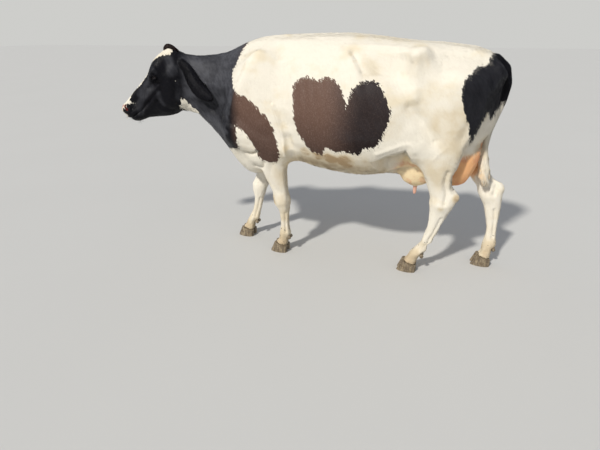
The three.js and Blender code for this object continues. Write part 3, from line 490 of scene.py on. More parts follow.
FACE_MIDDLE = (
    ("dish of the face", [(0.19, 0, 0.0), (0.3, 0, 0.0)], 0.03, -0.003),
    ("forehead", [(0.06, 0, 0.01), (0.12, 0, 0.014)], 0.04, 0.002),
    ("muzzle furrow", [(0.49, 0, -0.01), (0.518, 0, -0.045)], 0.0035, -0.002),
    ("poll", [(-0.028, 0, -0.04)], 0.04, 0.004),
)

# Joints and sinews of the legs: places down a leg as height, fore and outer, half width, and how far out.
# The forms in BOTH_SIDES are made on the outside, as given, and on the inside of the leg.
BOTH_SIDES = ("knee side", "sinew groove", "fetlock side", "heel cord groove")
FORELEG_FORMS = (
    ("forearm muscle", [(0.66, 0.5, 0.8), (0.56, 0.3, 0.9)], 0.03, 0.006),
    ("forearm groove", [(0.68, -0.2, 1.0), (0.56, -0.3, 1.0), (0.47, -0.3, 1.0)], 0.012, -0.005),
    ("knee", [(0.415, 1.0, 0.0), (0.375, 1.0, 0.0)], 0.024, 0.008),
    ("knee side", [(0.395, 0.2, 1.0)], 0.018, 0.004),
    ("back of the knee", [(0.42, -1.0, 0.0)], 0.016, 0.006),
    ("sinew groove", [(0.31, -0.45, 1.0), (0.22, -0.45, 1.0), (0.17, -0.4, 1.0)], 0.007, -0.008),
    ("fetlock", [(0.145, -0.9, 0.0)], 0.02, 0.004),
    ("fetlock side", [(0.145, 0.3, 1.0)], 0.018, 0.003),
    ("between the claws", [(0.11, 1.0, 0.0), (0.07, 1.0, 0.0)], 0.008, -0.008),
    ("between the heels", [(0.1, -1.0, 0.0), (0.06, -1.0, 0.0)], 0.01, -0.008),
)
HINDLEG_FORMS = (
    ("shin", [(0.66, 1.0, 0.2), (0.57, 1.0, 0.1)], 0.02, 0.004),
    ("heel cord groove", [(0.71, -0.5, 1.0), (0.64, -0.56, 1.0), (0.58, -0.5, 1.0), (0.51, -0.25, 1.0)],
     0.011, -0.014),
    ("heel cord", [(0.69, -0.95, 0.2), (0.6, -0.95, 0.0)], 0.012, 0.006),
    ("above the hock", [(0.67, -1.0, 0.0), (0.62, -1.0, 0.0)], 0.03, -0.022),
    ("point of the hock", [(0.548, -1.0, 0.0)], 0.022, 0.012),
    ("hock side", [(0.49, 0.1, 1.0)], 0.022, 0.008),
    ("hock side", [(0.48, 0.1, -1.0)], 0.022, 0.005),
    ("front of the hock", [(0.5, 1.0, 0.0)], 0.018, 0.004),
    ("sinew groove", [(0.4, -0.35, 1.0), (0.3, -0.4, 1.0), (0.2, -0.4, 1.0)], 0.008, -0.009),
    ("fetlock", [(0.14, -0.9, 0.0)], 0.02, 0.004),
    ("fetlock side", [(0.14, 0.3, 1.0)], 0.018, 0.003),
    ("between the claws", [(0.11, 1.0, 0.0), (0.07, 1.0, 0.0)], 0.008, -0.008),
    ("between the heels", [(0.1, -1.0, 0.0), (0.06, -1.0, 0.0)], 0.01, -0.008),
)


BEYOND = 0.6                            # out of her on either side
FACE_GAP = 0.006                        # between places on a form of the face


class Surface:
    """A mesh's points, normals and net, and the nearest place on it."""

    def __init__(self, mesh):
        self.mesh = mesh
        self.points = points_of(mesh)
        self.normals = normals_of(mesh)
        self.ends = ends_of(mesh)
        self.tree = BVHTree.FromPolygons(self.points.tolist(), [tuple(p.vertices) for p in mesh.polygons])

    def snap(self, places):
        """The nearest places on the surface."""
        return np.array([self.tree.find_nearest(tuple(p))[0] for p in places])

    def beside(self, places, side):
        """The outermost places on one side at some X and Z. side is -1 or 1, the way along Y."""
        found = []
        for x, z in places:
            hit = self.tree.ray_cast((x, side * BEYOND, z), (0.0, -side, 0.0))[0]
            if hit is None or hit[1] * side < 0:
                hit = self.tree.find_nearest((x, side * 0.2, z))[0]
            found.append(hit)
        return np.array(found)


def finely(path, gap=0.012):
    """A path with places about a gap apart."""
    path = np.asarray(path, float)
    if len(path) < 2:
        return path
    line = curve_through(path, per_span=4)
    lengths = np.linalg.norm(np.diff(line, axis=0), axis=1)
    at = np.concatenate([[0], np.cumsum(lengths)])
    wanted = np.linspace(0, at[-1], max(int(at[-1] / gap) + 1, 2))
    return np.stack([np.interp(wanted, at, line[:, i]) for i in range(line.shape[1])], 1)


def body_paths(surface):
    """Every form of the body as a path on the surface, a half width and a height."""
    count, first, lean = RIBS["count"], np.array(RIBS["first"]), np.array(RIBS["lean"])
    sides = [(path, width, height) for _, path, width, height in SIDE_FORMS]
    for i in range(count):
        top = first + (RIBS["step"] * i, 0)
        sides.append(([top, top + lean * 0.5, top + lean], RIBS["width"], RIBS["height"]))
    for side in (-1, 1):
        for path, width, height in sides:
            yield surface.beside(finely(path), side), width, height
    for _, path, width, height in MIDDLE_FORMS:
        yield surface.snap(finely(path)), width, height


def face_paths(surface):
    """Every form of the face as a path on the surface, a half width and a height."""
    for _, side in SIDES:
        for _, path, width, height in FACE_FORMS:
            yield surface.snap(from_head(finely(np.array(path) * (1, side, 1), FACE_GAP))), width, height
    for _, path, width, height in FACE_MIDDLE:
        yield surface.snap(from_head(finely(path, FACE_GAP))), width, height


def leg_paths(surface):
    """Every form of the legs as a path on the surface, a half width and a height."""
    for leg in LEGS:
        forms = FORELEG_FORMS if leg.startswith("fore") else HINDLEG_FORMS
        for name, path, width, height in forms:
            for face in (1, -1) if name in BOTH_SIDES else (1,):
                places = [leg_place(leg, level, fore, outer * face) for level, fore, outer in path]
                yield surface.snap(finely(places)), width, height


def raise_forms(surface):
    """The surface's points moved out or in along their normals by all the forms."""
    moved = np.zeros(len(surface.points))
    for path, width, height in (*body_paths(surface), *face_paths(surface), *leg_paths(surface)):
        low, high = path.min(0) - 3 * width, path.max(0) + 3 * width
        near = np.flatnonzero(((surface.points > low) & (surface.points < high)).all(1))
        away = path_distance(surface.points[near], path)
        moved[near] += height * np.exp(-0.5 * (away / width) ** 2)
    return surface.points + surface.normals * moved[:, None]


# Below the fold of the flank, as X and Z, the belly tucks in before the udder.
FLANK_TUCK = [(0.38, 0.76), (0.46, 0.792), (0.544, 0.836), (0.627, 0.868), (0.672, 0.878), (0.709, 0.835),
              (0.741, 0.786), (0.76, 0.73), (0.785, 0.64), (0.8, 0.45), (0.36, 0.45)]
TUCK_FROM, TUCK_BY, TUCK_WITHIN = 0.35, 0.2, 0.075       # half width, how much less, and over what depth
TUCK_STARTS, TUCK_RISE = 0.39, 0.45                      # where it begins, and how fast it deepens
TUCK_SHARE = 0.94                                        # of what stands out past the half width
FORE_UDDER = (0.69, 0.14, 0.69)                          # on one side; the other is its mirror
FORE_UDDER_EASE, FORE_UDDER_REACH, FORE_UDDER_PASSES = (0.06, 0.11), 0.13, 40


def tuck_flanks(points):
    """Points drawn in towards the middle below the fold of each flank."""
    deep = inside_from_side(points, FLANK_TUCK)
    deep = np.minimum(deep, (points[:, 0] - TUCK_STARTS) * TUCK_RISE)
    limit = TUCK_FROM - TUCK_BY * steps(deep, 0.0, TUCK_WITHIN)
    wide = np.abs(points[:, 1])
    over = np.where(deep > 0, np.maximum(wide - limit, 0), 0)
    tucked = points.copy()
    tucked[:, 1] -= np.sign(points[:, 1]) * over * TUCK_SHARE
    return tucked


def ease_fore_udder(points, ends):
    """The fore udder goes over smoothly into the belly."""
    away = np.linalg.norm(points * (1, 0, 1) + np.abs(points) * (0, 1, 0) - FORE_UDDER, axis=1)
    share = (1 - steps(away, *FORE_UDDER_EASE))[:, None]
    near = np.isin(ends, np.flatnonzero(away < FORE_UDDER_REACH)).all(1)
    return spread(points, ends[near], FORE_UDDER_PASSES) * share + points * (1 - share)


# ---- Eyelids ------------------------------------------------------------------------------------------

LID_TURN = math.radians(35)        # the eye's slit beside the nose line
LID_HALF_LENGTH = 0.0165
LID_HALF_HEIGHT = 0.0072
LID_THICKNESS = 0.003
LID_ROLL = 0.001                   # how far the lids' margins stand out
LID_FOLDS = (0.0024, 0.0008)       # how far the upper and lower lids stand out behind their margins
LID_CREASES = ((0.0058, 0.0026, 0.0012), (0.0102, 0.0018, 0.0013), (0.0148, 0.0013, 0.0014))
LID_REACH = (0.017, 0.036)         # where the lids leave the eyeball, and where they end in the face
LID_FAR, LID_BEHIND = 0.05, -0.012 # no part of a lid is further from the eye's middle, or further behind it
LID_UNDER = 0.004                  # how far the skin goes in behind the eyeball's front
LOWER_LID = 0.75                   # the slit's height below its middle line beside its height above
SLIT_SHAPE = 0.75                  # how full the slit's ends are


def eye_axes(side):
    """Along the slit to its inner corner, up the lids, and out of the eye."""
    out = unit(np.array((0.16, side * 0.97, 0.18)) @ HEAD_AXES)
    slit = np.array((math.cos(LID_TURN), 0.0, math.sin(LID_TURN))) @ HEAD_AXES
    slit = unit(slit - out * (slit @ out))
    up = unit(np.array((-math.sin(LID_TURN), 0.0, math.cos(LID_TURN))) @ HEAD_AXES)
    up = unit(up - out * (up @ out) - slit * (up @ slit))
    return slit, up, out


def form_lids(points, ends, lid):
    """The lids lie on the eyeball, part in an almond slit and wrinkle. lid gets how near a slit is."""
    for name, side in SIDES:
        slit, up, out = eye_axes(side)
        away = points - EYE_CENTRES[name]
        far = np.linalg.norm(away, axis=1)
        near = np.flatnonzero((far < LID_FAR) & ((away @ out > LID_BEHIND) | (far < EYE_RADIUS + 0.0035)))
        flat = away @ np.array((slit, up, out)).T
        inner = np.isin(ends, near).all(1)
        even = spread(flat[:, :2], ends[inner], 8)[near]
        share = (1 - steps(far, 0.028, 0.04))[near, None]
        flat = flat[near]
        flat[:, :2] = even * share + flat[:, :2] * (1 - share)
        a, b, h = flat.T
        share = np.clip(np.abs(a) / LID_HALF_LENGTH, 0, 1.6)
        tall = np.where(b > 0, LID_HALF_HEIGHT, LID_HALF_HEIGHT * LOWER_LID)
        tall = tall * np.clip(1 - share**2, 0, 1) ** SLIT_SHAPE
        edge = np.where(share < 1, np.abs(b) - tall, np.hypot(np.abs(a) - LID_HALF_LENGTH, b))
        margin = (np.abs(edge) < 0.0005) & (share < 0.97)
        b = np.where(margin, np.sign(b) * tall, b)
        edge = np.where(margin, 0.0, edge)
        across = np.hypot(a, b)
        ball = EYE_RADIUS + LID_THICKNESS
        cover = np.sqrt(np.clip(ball**2 - across**2, LID_UNDER**2, None))
        cover += LID_ROLL * np.exp(-((edge - 0.0016) / 0.0014) ** 2)
        fold = np.where(b > 0, *LID_FOLDS) * steps(edge, 0.004, 0.009)
        cover += fold * (1 - steps(across, 0.018, 0.03))
        for crease, depth, width in LID_CREASES:
            cover -= depth * np.exp(-((edge - crease) / width) ** 2)
        cover = np.maximum(cover, h - LID_UNDER)
        under = np.sqrt(np.clip((EYE_RADIUS - LID_UNDER) ** 2 - across**2, 0.002**2, None))
        cover = np.where(edge < 0, under, cover)
        blend = np.where(edge < 0, 0.0, steps(across, *LID_REACH))
        raised = cover * (1 - blend) + h * blend
        points[near] = EYE_CENTRES[name] + np.stack([a, b, raised], 1) @ np.array((slit, up, out))
        lid[near] = np.maximum(lid[near], np.exp(-np.maximum(edge, 0) / 0.0022))
    return points


# ---- Markings -----------------------------------------------------------------------------------------

# Outlines of the black hair over her left side, as X and Z. A place given twice is a sharp corner.
LEFT_BLACK = (
    [(-1.6, 1.7), (-0.42, 1.6), (-0.42, 1.43), (-0.444, 1.35), (-0.465, 1.285), (-0.476, 1.24),
     (-0.455, 1.19), (-0.44, 1.155), (-0.4, 1.125), (-0.365, 1.118), (-0.28, 1.055), (-0.207, 0.985),
     (-0.168, 0.91), (-0.144, 0.837), (-0.132, 0.775), (-0.145, 0.72), (-0.17, 0.695), (-0.17, 0.695),
     (-0.22, 0.703), (-0.277, 0.716), (-0.297, 0.77), (-0.314, 0.827), (-0.357, 0.884), (-0.426, 0.94),
     (-0.426, 0.94), (-0.42, 0.87), (-0.432, 0.765), (-0.432, 0.765), (-0.48, 0.762), (-0.6, 0.725),
     (-1.6, 0.4)],
    [(-0.036, 1.18), (-0.01, 1.222), (0.05, 1.243), (0.125, 1.225), (0.17, 1.248), (0.225, 1.228),
     (0.272, 1.18), (0.3, 1.12), (0.316, 1.075), (0.316, 1.075), (0.318, 1.15), (0.35, 1.205), (0.4, 1.228),
     (0.455, 1.232), (0.5, 1.192), (0.53, 1.13), (0.56, 1.08), (0.545, 0.99), (0.525, 0.925),
     (0.485, 0.862), (0.425, 0.852), (0.388, 0.803), (0.388, 0.803), (0.317, 0.826), (0.235, 0.822),
     (0.182, 0.855), (0.182, 0.855), (0.165, 0.782), (0.165, 0.782), (0.093, 0.8), (0.045, 0.86),
     (0.0, 0.93), (-0.022, 1.0), (-0.03, 1.09)],
    [(1.085, 1.42), (1.075, 1.375), (1.062, 1.35), (1.055, 1.322), (1.02, 1.313), (0.985, 1.304),
     (0.972, 1.278), (0.945, 1.255), (0.929, 1.225), (0.936, 1.17), (0.945, 1.11), (0.965, 1.06),
     (0.995, 0.99), (1.018, 0.87), (1.018, 0.87), (1.04, 0.93), (1.065, 1.02), (1.092, 1.085),
     (1.092, 1.085), (1.105, 1.04), (1.117, 1.015), (1.117, 1.015), (1.135, 1.06), (1.165, 1.1),
     (1.25, 1.18), (1.25, 1.42)],
)
# Her right side is marked in the manner of the breed.
RIGHT_BLACK = (
    [(-1.6, 1.7), (-0.42, 1.6), (-0.42, 1.43), (-0.46, 1.36), (-0.52, 1.27), (-0.45, 1.2), (-0.44, 1.12),
     (-0.36, 1.09), (-0.3, 1.0), (-0.25, 0.93), (-0.28, 0.86), (-0.27, 0.78), (-0.27, 0.78), (-0.34, 0.82),
     (-0.38, 0.78), (-0.44, 0.8), (-0.5, 0.755), (-0.6, 0.725), (-1.6, 0.4)],
    [(-0.1, 1.18), (-0.07, 1.27), (-0.01, 1.31), (0.02, 1.39), (0.11, 1.41), (0.17, 1.37), (0.25, 1.38),
     (0.28, 1.29), (0.25, 1.22), (0.33, 1.21), (0.4, 1.15), (0.38, 1.07), (0.31, 1.05), (0.33, 0.96),
     (0.33, 0.96), (0.27, 0.93), (0.27, 0.84), (0.27, 0.84), (0.18, 0.89), (0.13, 0.84), (0.09, 0.93),
     (0.03, 0.95), (0.02, 1.03), (-0.05, 1.05)],
    [(0.56, 1.27), (0.6, 1.35), (0.67, 1.36), (0.71, 1.41), (0.79, 1.37), (0.8, 1.29), (0.85, 1.24),
     (0.8, 1.17), (0.73, 1.19), (0.69, 1.11), (0.69, 1.11), (0.63, 1.16), (0.58, 1.18)],
    [(1.25, 1.34), (1.12, 1.31), (1.07, 1.24), (1.01, 1.22), (1.0, 1.14), (0.95, 1.08), (0.99, 1.02),
     (0.99, 0.94), (0.99, 0.94), (1.05, 0.99), (1.09, 0.96), (1.13, 1.03), (1.25, 1.06)],
)
TAIL_BLACK_DOWN_TO = 1.112
TAIL_RIM = 0.02                        # beyond this far to her right the tail is white
SEAM = 0.02                            # left and right markings meet within this distance of her middle

# White of the face: half width of the blaze down the nose line.
BLAZE = ((-0.06, 0.0), (-0.045, 0.03), (-0.03, 0.05), (-0.018, 0.068), (0.0, 0.074), (0.039, 0.074),
         (0.075, 0.066), (0.095, 0.045), (0.115, 0.022), (0.165, 0.018), (0.19, 0.036), (0.283, 0.04),
         (0.315, 0.038), (0.338, 0.028), (0.357, 0.026), (0.396, 0.036), (0.43, 0.042), (0.47, 0.05),
         (0.53, 0.05))
BLAZE_BEHIND = -0.052                  # out of the face, the blaze ends here
THROAT_WHITE = [(-0.892, 1.06), (-0.866, 1.062), (-0.847, 1.028), (-0.823, 1.004), (-0.792, 0.975),
                (-0.796, 0.955), (-0.85, 0.97), (-0.892, 0.975), (-0.908, 1.0), (-0.888, 1.035)]
FLECK = ((0.112, 0.101, -0.171), (0.122, 0.099, -0.177))     # a few white hairs on the cheek
FLECK_REACH = 0.0032
NOSE_FROM = 0.462                      # bare skin of the muzzle

# Painted highlights on the black hair of the face in the head's frame, the same on both sides: a path, a
# reach and a share.
FACE_HIGHLIGHTS = (
    ([(0.215, 0.085, -0.036), (0.258, 0.062, -0.034), (0.3, 0.052, -0.032), (0.345, 0.05, -0.036)], 0.026,
     0.5),
    ([(0.142, 0.096, -0.01), (0.15, 0.109, -0.036)], 0.022, 0.28),
    ([(0.03, 0.09, -0.06), (0.06, 0.098, -0.1), (0.09, 0.105, -0.12)], 0.04, 0.55),
    ([(0.04, 0.092, -0.13), (0.07, 0.1, -0.15)], 0.026, 0.4),
    ([(0.25, 0.08, -0.068), (0.3, 0.07, -0.064), (0.35, 0.062, -0.066), (0.39, 0.056, -0.068)], 0.03, 0.42),
    ([(0.25, 0.089, -0.13), (0.285, 0.086, -0.16), (0.3, 0.08, -0.2)], 0.022, 0.34),
    ([(0.15, 0.096, -0.03), (0.185, 0.1, -0.026)], 0.012, 0.5),
    ([(0.4, 0.062, -0.08), (0.44, 0.056, -0.11)], 0.034, 0.36),
    ([(0.11, 0.096, -0.19), (0.15, 0.092, -0.22), (0.2, 0.088, -0.25)], 0.03, 0.26),
)
# Painted shadow: a band low on the neck behind the jaw, seen from the side, where the grey of the black hair
# is taken down to deep black.
NECK_SHADOW_BAND = ((-0.74, 1.035), (-0.641, 1.01), (-0.545, 0.955))

# Stains of soil and grease in the white hair, and painted shade: a place, how far it reaches, and how strong
# it is.
# The two just behind the elbow paint the shade in the hollow behind its fold. The four broad soft ones on
# the thighs are partly creamier hair and partly painted shade and light reflected from the ground.
STAINS_AND_SHADE = (
    ((0.985, -0.18, 0.545), 0.038, 1.0), ((0.9, -0.19, 0.478), 0.034, 0.9),
    ((-0.215, -0.15, 0.43), 0.034, 1.0), ((-0.205, -0.16, 0.395), 0.03, 0.9),
    ((0.3, -0.205, 1.378), 0.028, 0.7), ((0.33, -0.235, 1.33), 0.026, 0.5), ((1.33, 0.06, 0.56), 0.04, 1.0),
    ((-0.52, 0.13, 0.42), 0.034, 1.0), ((0.31, -0.29, 0.75), 0.085, 2.2),
    ((0.215, -0.29, 0.762), 0.07, 2.0), ((0.13, -0.28, 0.77), 0.06, 1.7),
    ((0.045, -0.27, 0.785), 0.055, 1.3), ((0.25, 0.29, 0.76), 0.07, 1.6), ((0.08, 0.28, 0.78), 0.06, 1.3),
    ((0.9, -0.33, 0.98), 0.21, 0.85), ((0.96, -0.29, 0.86), 0.17, 0.6), ((0.87, -0.24, 0.7), 0.17, 0.55),
    ((0.86, 0.3, 0.9), 0.22, 0.35), ((0.56, -0.33, 0.98), 0.12, 0.5), ((0.39, -0.262, 1.29), 0.07, 0.4),
    ((0.7, -0.25, 1.33), 0.08, 0.4), ((-0.07, -0.27, 0.8), 0.055, 1.0), ((-0.06, -0.275, 0.86), 0.04, 0.7),
    ((0.43, -0.27, 0.74), 0.07, 1.2),
)

# Where the udder's bare skin goes on over belly and thighs: outlines in X and Z, and half widths.
UDDER_BEYOND = (
    ([(0.59, 0.68), (0.618, 0.735), (0.655, 0.79), (0.7, 0.8), (0.76, 0.74), (0.79, 0.62), (0.78, 0.5),
     (0.6, 0.5)], 0.19),
    ([(1.02, 0.7), (1.055, 0.8), (1.1, 0.85), (1.165, 0.845), (1.15, 0.7), (1.08, 0.6)], 0.15),
)

# Slow changes along the body: each from where it starts to where it is full, in metres along X or Z.
SUNBURNT_FROM, SUNBURNT_LESS, SUNBURNT_TO = (-0.475, -0.385), (0.16, 0.4), (0.7, 0.9)
SUNBURNT_ABOVE = (0.8, 1.1)
# Painted sheen: the grey of the black hair on the neck is partly dust and partly a painted sheen of light.
NECK_DUST_AND_SHEEN = (-0.9, -0.82), (-0.47, -0.37)
# Painted sheen: the black hair of the rump is lifted to a bluish grey, as the sheen of light on it.
RUMP_SHEEN, RUMP_SHEEN_ABOVE = (0.14, 0.34), 0.9
# Partly painted shade: the tan low on the belly is partly soil and partly the shade of the underside.
BELLY_SOIL_AND_SHADE, BELLY_SOIL_AND_SHADE_BELOW = ((-0.3, 0.0), (0.45, 0.66)), (0.68, 0.88)
FEET_SOIL, FEET_SPECKS = (0.04, 0.4), (0.1, 0.4)
REAR_UDDER = (0.8, 0.98)


def side_black(points, outlines):
    """How far inside the black each point of one side is."""
    return np.max([inside_from_side(points, outline) for outline in outlines], 0)


def face_black(points):
    """How far inside the black each point of the head is."""
    along, across, out = to_head(points).T
    blaze = np.interp(along, *np.array(BLAZE).T) - np.abs(across + 0.004 * np.sin(along * 40))
    return -np.minimum(blaze, out - BLAZE_BEHIND)


def black_hair(points, region):
    """How far inside the black each point is. In the white it is negative."""
    share = steps(points[:, 1], -SEAM, SEAM)
    black = side_black(points, LEFT_BLACK) * (1 - share) + side_black(points, RIGHT_BLACK) * share
    black = np.where(is_kind(region, "head"), face_black(points) * 2.2, black)
    black = np.where(is_kind(region, "ear"), 0.04, black)
    tail = np.minimum(points[:, 2] - TAIL_BLACK_DOWN_TO, TAIL_RIM - points[:, 1])
    black = np.where(is_kind(region, "tail"), tail, black)
    black = np.minimum(black, -inside_from_side(points, THROAT_WHITE))
    return np.minimum(black, (path_distance(points, from_head(FLECK)) - FLECK_REACH) * 4)


def bare_skin(points, region):
    """1 on the udder and the bare skin round it."""
    bare = is_kind(region, "udder", "teat").astype(float)
    for outline, wide in UDDER_BEYOND:
        here = (inside_from_side(points, outline) > 0) * (np.abs(points[:, 1]) < wide)
        bare = np.maximum(bare, here * is_kind(region, "trunk", "leg"))
    return bare


def hair_sheen_and_dust(points, region):
    """Greying of the black hair by dust, painted sheen and painted highlights; 1 on the teats, whose colour
    it marks.
    """
    x, _, z = points.T
    dust_sheen_and_teats = (1 - steps(x, *NECK_DUST_AND_SHEEN[1])) * steps(x, *NECK_DUST_AND_SHEEN[0]) * is_kind(region, "neck")
    # Less grey in the painted shadow low on the neck.
    dust_sheen_and_teats *= 0.34 + 0.66 * steps(path_distance(points[:, [0, 2]], NECK_SHADOW_BAND), 0.025, 0.085)
    # Painted sheen on the black hair of the rump.
    rump = is_kind(region, "trunk") & (z > RUMP_SHEEN_ABOVE)
    dust_sheen_and_teats = np.where(rump, 0.15 * steps(x, *RUMP_SHEEN), dust_sheen_and_teats)
    # Painted highlights: grey where light catches the brow, temple, cheek and side of the nose.
    for path, reach, strength in FACE_HIGHLIGHTS:
        for _, side in SIDES:
            away = path_distance(points, from_head(np.array(path) * (1, side, 1)))
            dust_and_sheen_grey = strength * near_spot(away, reach)
            dust_sheen_and_teats = np.maximum(dust_sheen_and_teats, np.where(is_kind(region, "head"), dust_and_sheen_grey, 0))
    return np.where(is_kind(region, "teat"), 1.0, dust_sheen_and_teats)


def soil_and_shade_of_hair(points):
    """How soiled the white hair is, with painted shade on the belly, behind the elbow and on the thighs."""
    x, _, z = points.T
    start, end = BELLY_SOIL_AND_SHADE
    soil_and_shade = (1 - steps(z, *BELLY_SOIL_AND_SHADE_BELOW)) * steps(x, *start) * (1 - steps(x, *end))
    soil_and_shade = np.maximum(soil_and_shade, 1 - steps(z, *FEET_SOIL))
    for place, reach, strength in STAINS_AND_SHADE:
        soil_and_shade = np.maximum(soil_and_shade, strength * near_spot(np.linalg.norm(points - place, axis=1), reach))
    return soil_and_shade


def markings(points, region):
    """What is black, sunburnt and bare, how soiled and painted shaded, how dusty and painted with sheen, and
    what is splashed at the feet, one value for each point.
    """
    x, _, z = points.T
    bare = bare_skin(points, region)
    black = np.where(bare > 0.5, -0.05, black_hair(points, region))
    warm = steps(x, *SUNBURNT_FROM) * (1 - 0.84 * steps(x, *SUNBURNT_LESS)) * (1 - steps(x, *SUNBURNT_TO))
    warm *= 0.62 + 0.38 * steps(z, *SUNBURNT_ABOVE)
    return {"black": np.clip(black, -0.06, 0.06), "warm": np.where(bare > 0, steps(x, *REAR_UDDER), warm),
            "bare": bare, "soil_and_shade": soil_and_shade_of_hair(points), "dust_sheen_and_teats": hair_sheen_and_dust(points, region),
            "feet": 1 - steps(z, *FEET_SPECKS)}


def muzzle_bare(points):
    """Bare skin of the muzzle and the nostrils, and how deep in a nostril."""
    along, across, out = to_head(points).T
    plate = steps(along, NOSE_FROM, NOSE_FROM + 0.012) * (1 - steps(np.abs(across), 0.036, 0.046))
    plate *= steps(out, -0.066, -0.056)
    deep = np.zeros(len(points))
    for _, side in SIDES:
        for name, path, _, _ in FACE_FORMS:
            if name == "nostril":
                away = path_distance(points, from_head(np.array(path) * (1, side, 1)))
                deep = np.maximum(deep, 1 - steps(away, 0.006, 0.012))
    return plate, deep


# ---- Where each point belongs, and how its hair lies ----------------------------------------------------

def flesh_tree():
    """The nearest flesh solid of any place, as a search tree and the region of each of its faces."""
    points, faces, regions = [], [], []
    for node in FLESH:
        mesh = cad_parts[node].data
        first = len(points)
        points += node_points(node).tolist()
        faces += [tuple(first + v for v in face.vertices) for face in mesh.polygons]
        regions += [REGION_NAMES.index(region_of(node))] * len(mesh.polygons)
    return BVHTree.FromPolygons(points, faces), np.array(regions)


def regions_of(points, tree, face_regions):
    """The region of each point."""
    return face_regions[[tree.find_nearest(p)[2] for p in points.tolist()]]


def region_values(region, key):
    """One of the regions' sizes for each point."""
    return np.array([kind[key] for kind in REGIONS.values()])[region]


WHORL = 0.105                          # the hair of the face parts here, this far down the nose line


def hair_lie(points, normals, region):
    """Which way the hair lies on the skin at each point."""
    along, across, out = to_head(points).T
    lie = np.tile((0.5, 0.0, -0.85), (len(points), 1))
    belly = steps(-normals[:, 2], 0.3, 0.8)[:, None]
    lie = lie * (1 - belly) + np.array((1.0, 0.0, 0.05)) * belly

    def put(kind, vectors):
        """Lays the hair of one kind of flesh."""
        chosen = is_kind(region, kind)
        lie[chosen] = np.broadcast_to(vectors, lie.shape)[chosen]

    down = np.array((0.0, 0.0, -1.0))
    put("neck", np.array((0.62, 0.0, -0.75)))
    put("leg", down + np.array((0.12, 0.0, 0.0)))
    put("tail", down)
    put("udder", np.array((0.35, 0.0, -0.8)))
    put("teat", down)
    below = along > WHORL
    outwards = np.where(below, -0.55, -0.1) - steps(-out, 0.05, 0.16) * 1.2
    face = np.stack([np.where(below, 0.8, -0.8), across * 4, outwards], 1)
    put("head", face @ HEAD_AXES)
    ear = np.stack([np.full(len(points), 0.15), np.sign(across) * 0.45, np.full(len(points), -0.9)], 1)
    put("ear", ear @ HEAD_AXES)
    return lie


# ---- Materials ----------------------------------------------------------------------------------------

class Shader:
    """A material's nodes."""

    def __init__(self, name):
        self.material = bpy.data.materials.get(name) or bpy.data.materials.new(name)
        self.material.use_nodes = True
        self.tree = self.material.node_tree
        self.tree.nodes.clear()
        self.surface = self.node("ShaderNodeBsdfPrincipled")
        output = self.node("ShaderNodeOutputMaterial")
        self.tree.links.new(self.surface.outputs[0], output.inputs["Surface"])
        self.place = self.node("ShaderNodeTexCoord").outputs["Object"]

    def node(self, kind, settings=None, **inputs):
        """Adds a node. An input is a number, a colour or another node's output."""
        made = self.tree.nodes.new(kind)
        for key, value in (settings or {}).items():
            setattr(made, key, value)
        for key, value in inputs.items():
            self.feed(made.inputs[int(key[1:]) if key[1:].isdigit() else key.replace("_", " ")], value)
        return made

    def feed(self, socket, value):
        """A socket's value, or what is linked to it."""
        if isinstance(value, bpy.types.NodeSocket):
            self.tree.links.new(value, socket)
        elif hasattr(value, "__len__") and socket.type == "RGBA":
            socket.default_value = (*value, 1.0)
        else:
            socket.default_value = value

    def set(self, **inputs):
        """Feeds the surface's own sockets."""
        for key, value in inputs.items():
            self.feed(self.surface.inputs[key.replace("_", " ")], value)

    def value_of(self, name):
        """A number kept in the mesh."""
        return self.node("ShaderNodeAttribute", {"attribute_name": name}).outputs["Fac"]

    def noise(self, stretch, detail=2.0, turn=(0.0, 0.0, 0.0), roughness=0.5):
        """Noise from 0 to 1. stretch says how many grains a metre holds, all ways or along each axis."""
        stretch = stretch if hasattr(stretch, "__len__") else (stretch,) * 3
        turned = self.node("ShaderNodeMapping", Vector=self.place, Rotation=turn)
        placed = self.node("ShaderNodeMapping", Vector=turned.outputs[0], Scale=stretch)
        return self.node("ShaderNodeTexNoise", Vector=placed.outputs[0], Scale=1.0, Detail=detail,
                         Roughness=roughness).outputs["Fac"]

    def plus(self, a, b):
        """One number added to another."""
        return self.node("ShaderNodeMath", {"operation": "ADD"}, _0=a, _1=b).outputs[0]

    def times(self, a, b):
        """One number times another."""
        return self.node("ShaderNodeMath", {"operation": "MULTIPLY"}, _0=a, _1=b).outputs[0]

    def ease(self, value, low, high):
        """0 below low, 1 above high."""
        made = self.node("ShaderNodeMapRange", {"interpolation_type": "SMOOTHSTEP"}, Value=value)
        made.inputs["From Min"].default_value = low
        made.inputs["From Max"].default_value = high
        return made.outputs[0]

    def mix(self, share, a, b):
        """One colour over another."""
        return self.node("ShaderNodeMix", {"data_type": "RGBA"}, _0=share, _6=a, _7=b).outputs[2]

    def blend(self, share, a, b):
        """One number over another."""
        return self.node("ShaderNodeMix", {"data_type": "FLOAT"}, _0=share, _2=a, _3=b).outputs[0]

    def bump(self, height, distance, strength=1.0):
        """Relief on the surface."""
        made = self.node("ShaderNodeBump", Height=height, Distance=distance, Strength=strength)
        self.set(Normal=made.outputs[0])


def hair_grain(shader, long, short, detail=2.0):
    """Noise drawn out along the hair: backwards on the body, and downwards where the skin says so."""
    body = shader.noise((long, short, short), detail, (0.0, math.radians(-60), 0.0))
    legs = shader.noise((short, short, long), detail)
    return shader.blend(shader.value_of("down"), body, legs)


